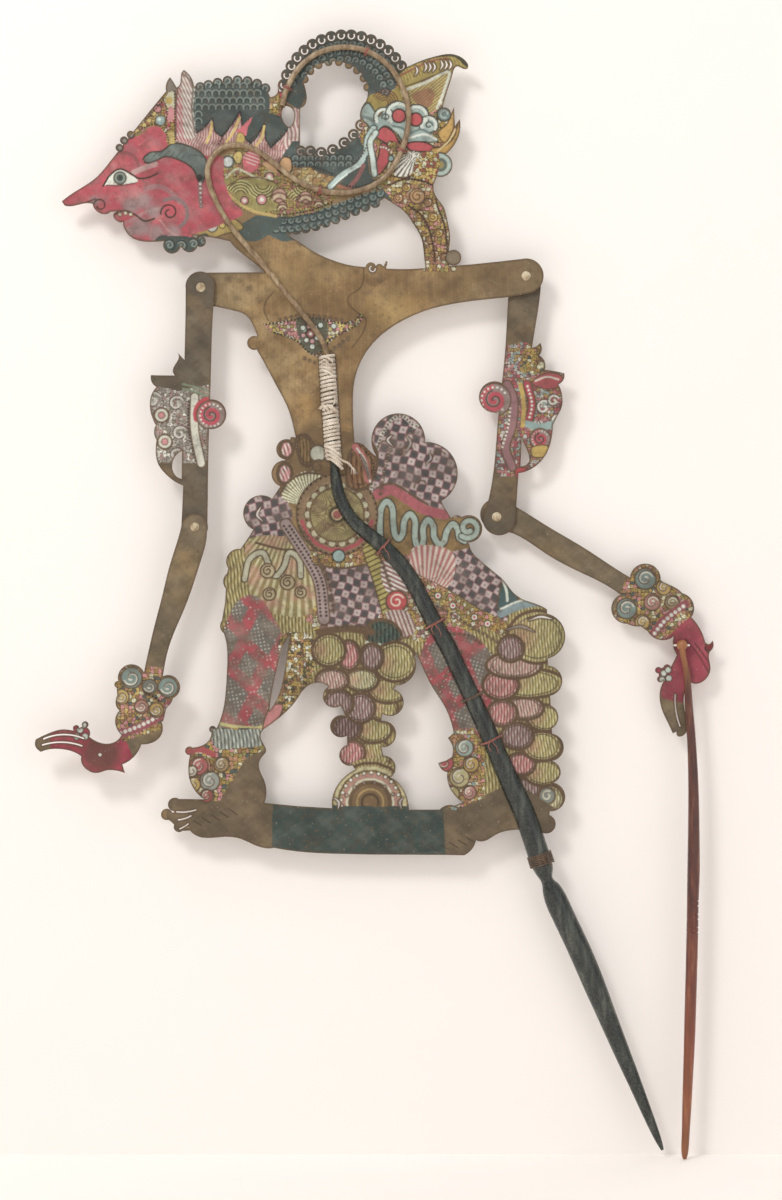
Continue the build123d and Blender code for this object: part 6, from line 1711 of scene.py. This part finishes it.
# ----------------------------------------------------------------------- build
NODE_SLOT = {"body_hide": "painted_hide", "left_upper_arm": "arm_hide",
             "left_forearm": "arm_hide", "right_upper_arm": "arm_hide",
             "right_forearm": "arm_hide"}
hides = [
    build_hide("body_hide", (144, 116, 84), paint_body, pierced(), "puppet"),
    build_hide("left_upper_arm", (99, 87, 74), paint_left_upper, [], "left_upper_arm"),
    build_hide("left_forearm", (116, 100, 80), paint_left_fore, [], "left_forearm"),
    build_hide("right_upper_arm", (97, 85, 72), paint_right_upper, [], "right_upper_arm"),
    build_hide("right_forearm", (114, 99, 80), paint_right_fore, [], "right_forearm"),
]
for number, hide in enumerate(hides):
    hide.data.materials.append(hide_material("hide_%d" % number, 0.37 * number))

BLACK_HORN = horn_material("black_horn", srgb(26, 29, 27), srgb(44, 50, 46), srgb(92, 96, 86), 0.26)
PALE_HORN = horn_material("pale_horn", srgb(104, 82, 58), srgb(152, 128, 98), srgb(196, 178, 146), 0.4,
                          (70, 70, 30))
RED_HORN = red_horn_material()
BONE = bone_material()
STRING = fibre_material("string", srgb(176, 156, 134), srgb(238, 228, 212))
THREAD = fibre_material("thread", srgb(120, 66, 58), srgb(176, 110, 96))
CORD = fibre_material("cord", srgb(60, 46, 36), srgb(120, 96, 74))
WHITE_THREAD = fibre_material("white_thread", srgb(160, 150, 136), srgb(232, 226, 214))

FINISH = {"main_rod": BLACK_HORN, "rod_leg_front": BLACK_HORN, "rod_leg_rear": BLACK_HORN,
          "front_rib": PALE_HORN, "rear_rib": PALE_HORN, "hand_rod": RED_HORN,
          "hand_rod_tie": WHITE_THREAD}
for name, node in NODES.items():
    if node.type != "MESH" or name in NODE_SLOT:
        continue
    node.data.materials.clear()
    node.data.materials.append(FINISH.get(name, BONE))

waist_binding(STRING)
for number, (name, (centre, along, a, b)) in enumerate(MAIN_ROD_SPOTS.items()):
    wire = name == "rod_tie_wire"
    thread_tie(name, centre, along, a, b, 2 if not wire else 3, CORD if wire else THREAD,
               number + 1.0, 0.34 if wire else 0.45, not wire)
for number, (name, (centre, along)) in enumerate(RIB_SPOTS.items()):
    thread_tie(name, centre, along, 2.35, 4.75, 3, THREAD, number + 5.0, 0.4, number == 0)
grip_cord(CORD)

# ----------------------------------------------------------------------- stage
PAPER = srgb(250, 245, 241)


def stage_material(name, colour):
    s = Shader(name)
    diffuse = s.node("ShaderNodeBsdfDiffuse")
    grain = s.noise(30, 3, 0.5)
    tint = s.mix(s.range(grain, 0.3, 0.7, 0.0, 0.04), colour, srgb(226, 220, 212))
    s.feed(diffuse.inputs["Color"], tint)
    clear = s.node("ShaderNodeBsdfTransparent")
    side = s.node("ShaderNodeNewGeometry").outputs["Backfacing"]
    both = s.node("ShaderNodeMixShader", {"Fac": side})
    glow = s.node("ShaderNodeEmission", {"Color": tint, "Strength": 0.04})
    lit = s.node("ShaderNodeAddShader", {0: diffuse.outputs[0], 1: glow.outputs[0]})
    s.feed(both.inputs[1], lit.outputs[0])
    s.feed(both.inputs[2], clear.outputs[0])
    output = s.tree.nodes["Material Output"]
    s.feed(output.inputs["Surface"], both.outputs[0])
    return s.mat


def sheet_of(name, corners, colour):
    mesh = bpy.data.meshes.new(name)
    mesh.from_pydata(corners, [], [[0, 1, 2, 3]])
    mesh.materials.append(stage_material(name + "_paper", colour))
    made = bpy.data.objects.new(name, mesh)
    bpy.context.scene.collection.objects.link(made)
    return made


wall = sheet_of("backdrop", [(-STAGE_HALF, WALL_Y, FLOOR_Z), (STAGE_HALF, WALL_Y, FLOOR_Z),
                             (STAGE_HALF, WALL_Y, STAGE_HALF),
                             (-STAGE_HALF, WALL_Y, STAGE_HALF)], PAPER)
wall.visible_shadow = False
floor = sheet_of("floor", [(-STAGE_HALF, -STAGE_HALF, FLOOR_Z), (STAGE_HALF, -STAGE_HALF, FLOOR_Z),
                           (STAGE_HALF, STAGE_HALF, FLOOR_Z),
                           (-STAGE_HALF, STAGE_HALF, FLOOR_Z)], PAPER)

MIDDLE = Vector((-0.0944, 0.0, 0.1694))


def lamp(name, where, size, power, colour=(1, 1, 1)):
    light = bpy.data.lights.new(name, "AREA")
    light.shape = "DISK"
    light.size = size
    light.energy = power
    light.color = colour
    made = bpy.data.objects.new(name, light)
    made.location = where
    made.rotation_euler = (MIDDLE - Vector(where)).to_track_quat("-Z", "Y").to_euler()
    bpy.context.scene.collection.objects.link(made)


lamp("key", (-0.95, -1.5, 1.45), 0.55, 14.5, (1.0, 0.985, 0.965))
lamp("fill", (1.1, -1.7, 0.4), 1.6, 3.2, (0.97, 0.98, 1.0))
lamp("behind", (0.7, 1.5, 0.9), 1.2, 4)
lamp("top", (0.0, -0.6, 1.9), 1.2, 3.4)
world = bpy.data.worlds.new("room")
bpy.context.scene.world = world
world.use_nodes = True
world.node_tree.nodes["Background"].inputs[0].default_value = (1.0, 0.985, 0.96, 1)
world.node_tree.nodes["Background"].inputs[1].default_value = 0.60

camera = bpy.data.cameras.new("camera")
camera.sensor_width = SENSOR
camera.sensor_fit = "VERTICAL"
camera.sensor_height = SENSOR
camera.lens = SENSOR * (CAMERA_BACK + MIDDLE.y) / FRAME_HIGH
eye = bpy.data.objects.new("camera", camera)
eye.location = (MIDDLE.x, -CAMERA_BACK, MIDDLE.z)
eye.rotation_euler = (math.pi / 2, 0, 0)
bpy.context.scene.collection.objects.link(eye)
bpy.context.scene.camera = eye
bpy.context.scene.view_settings.view_transform = "Standard"
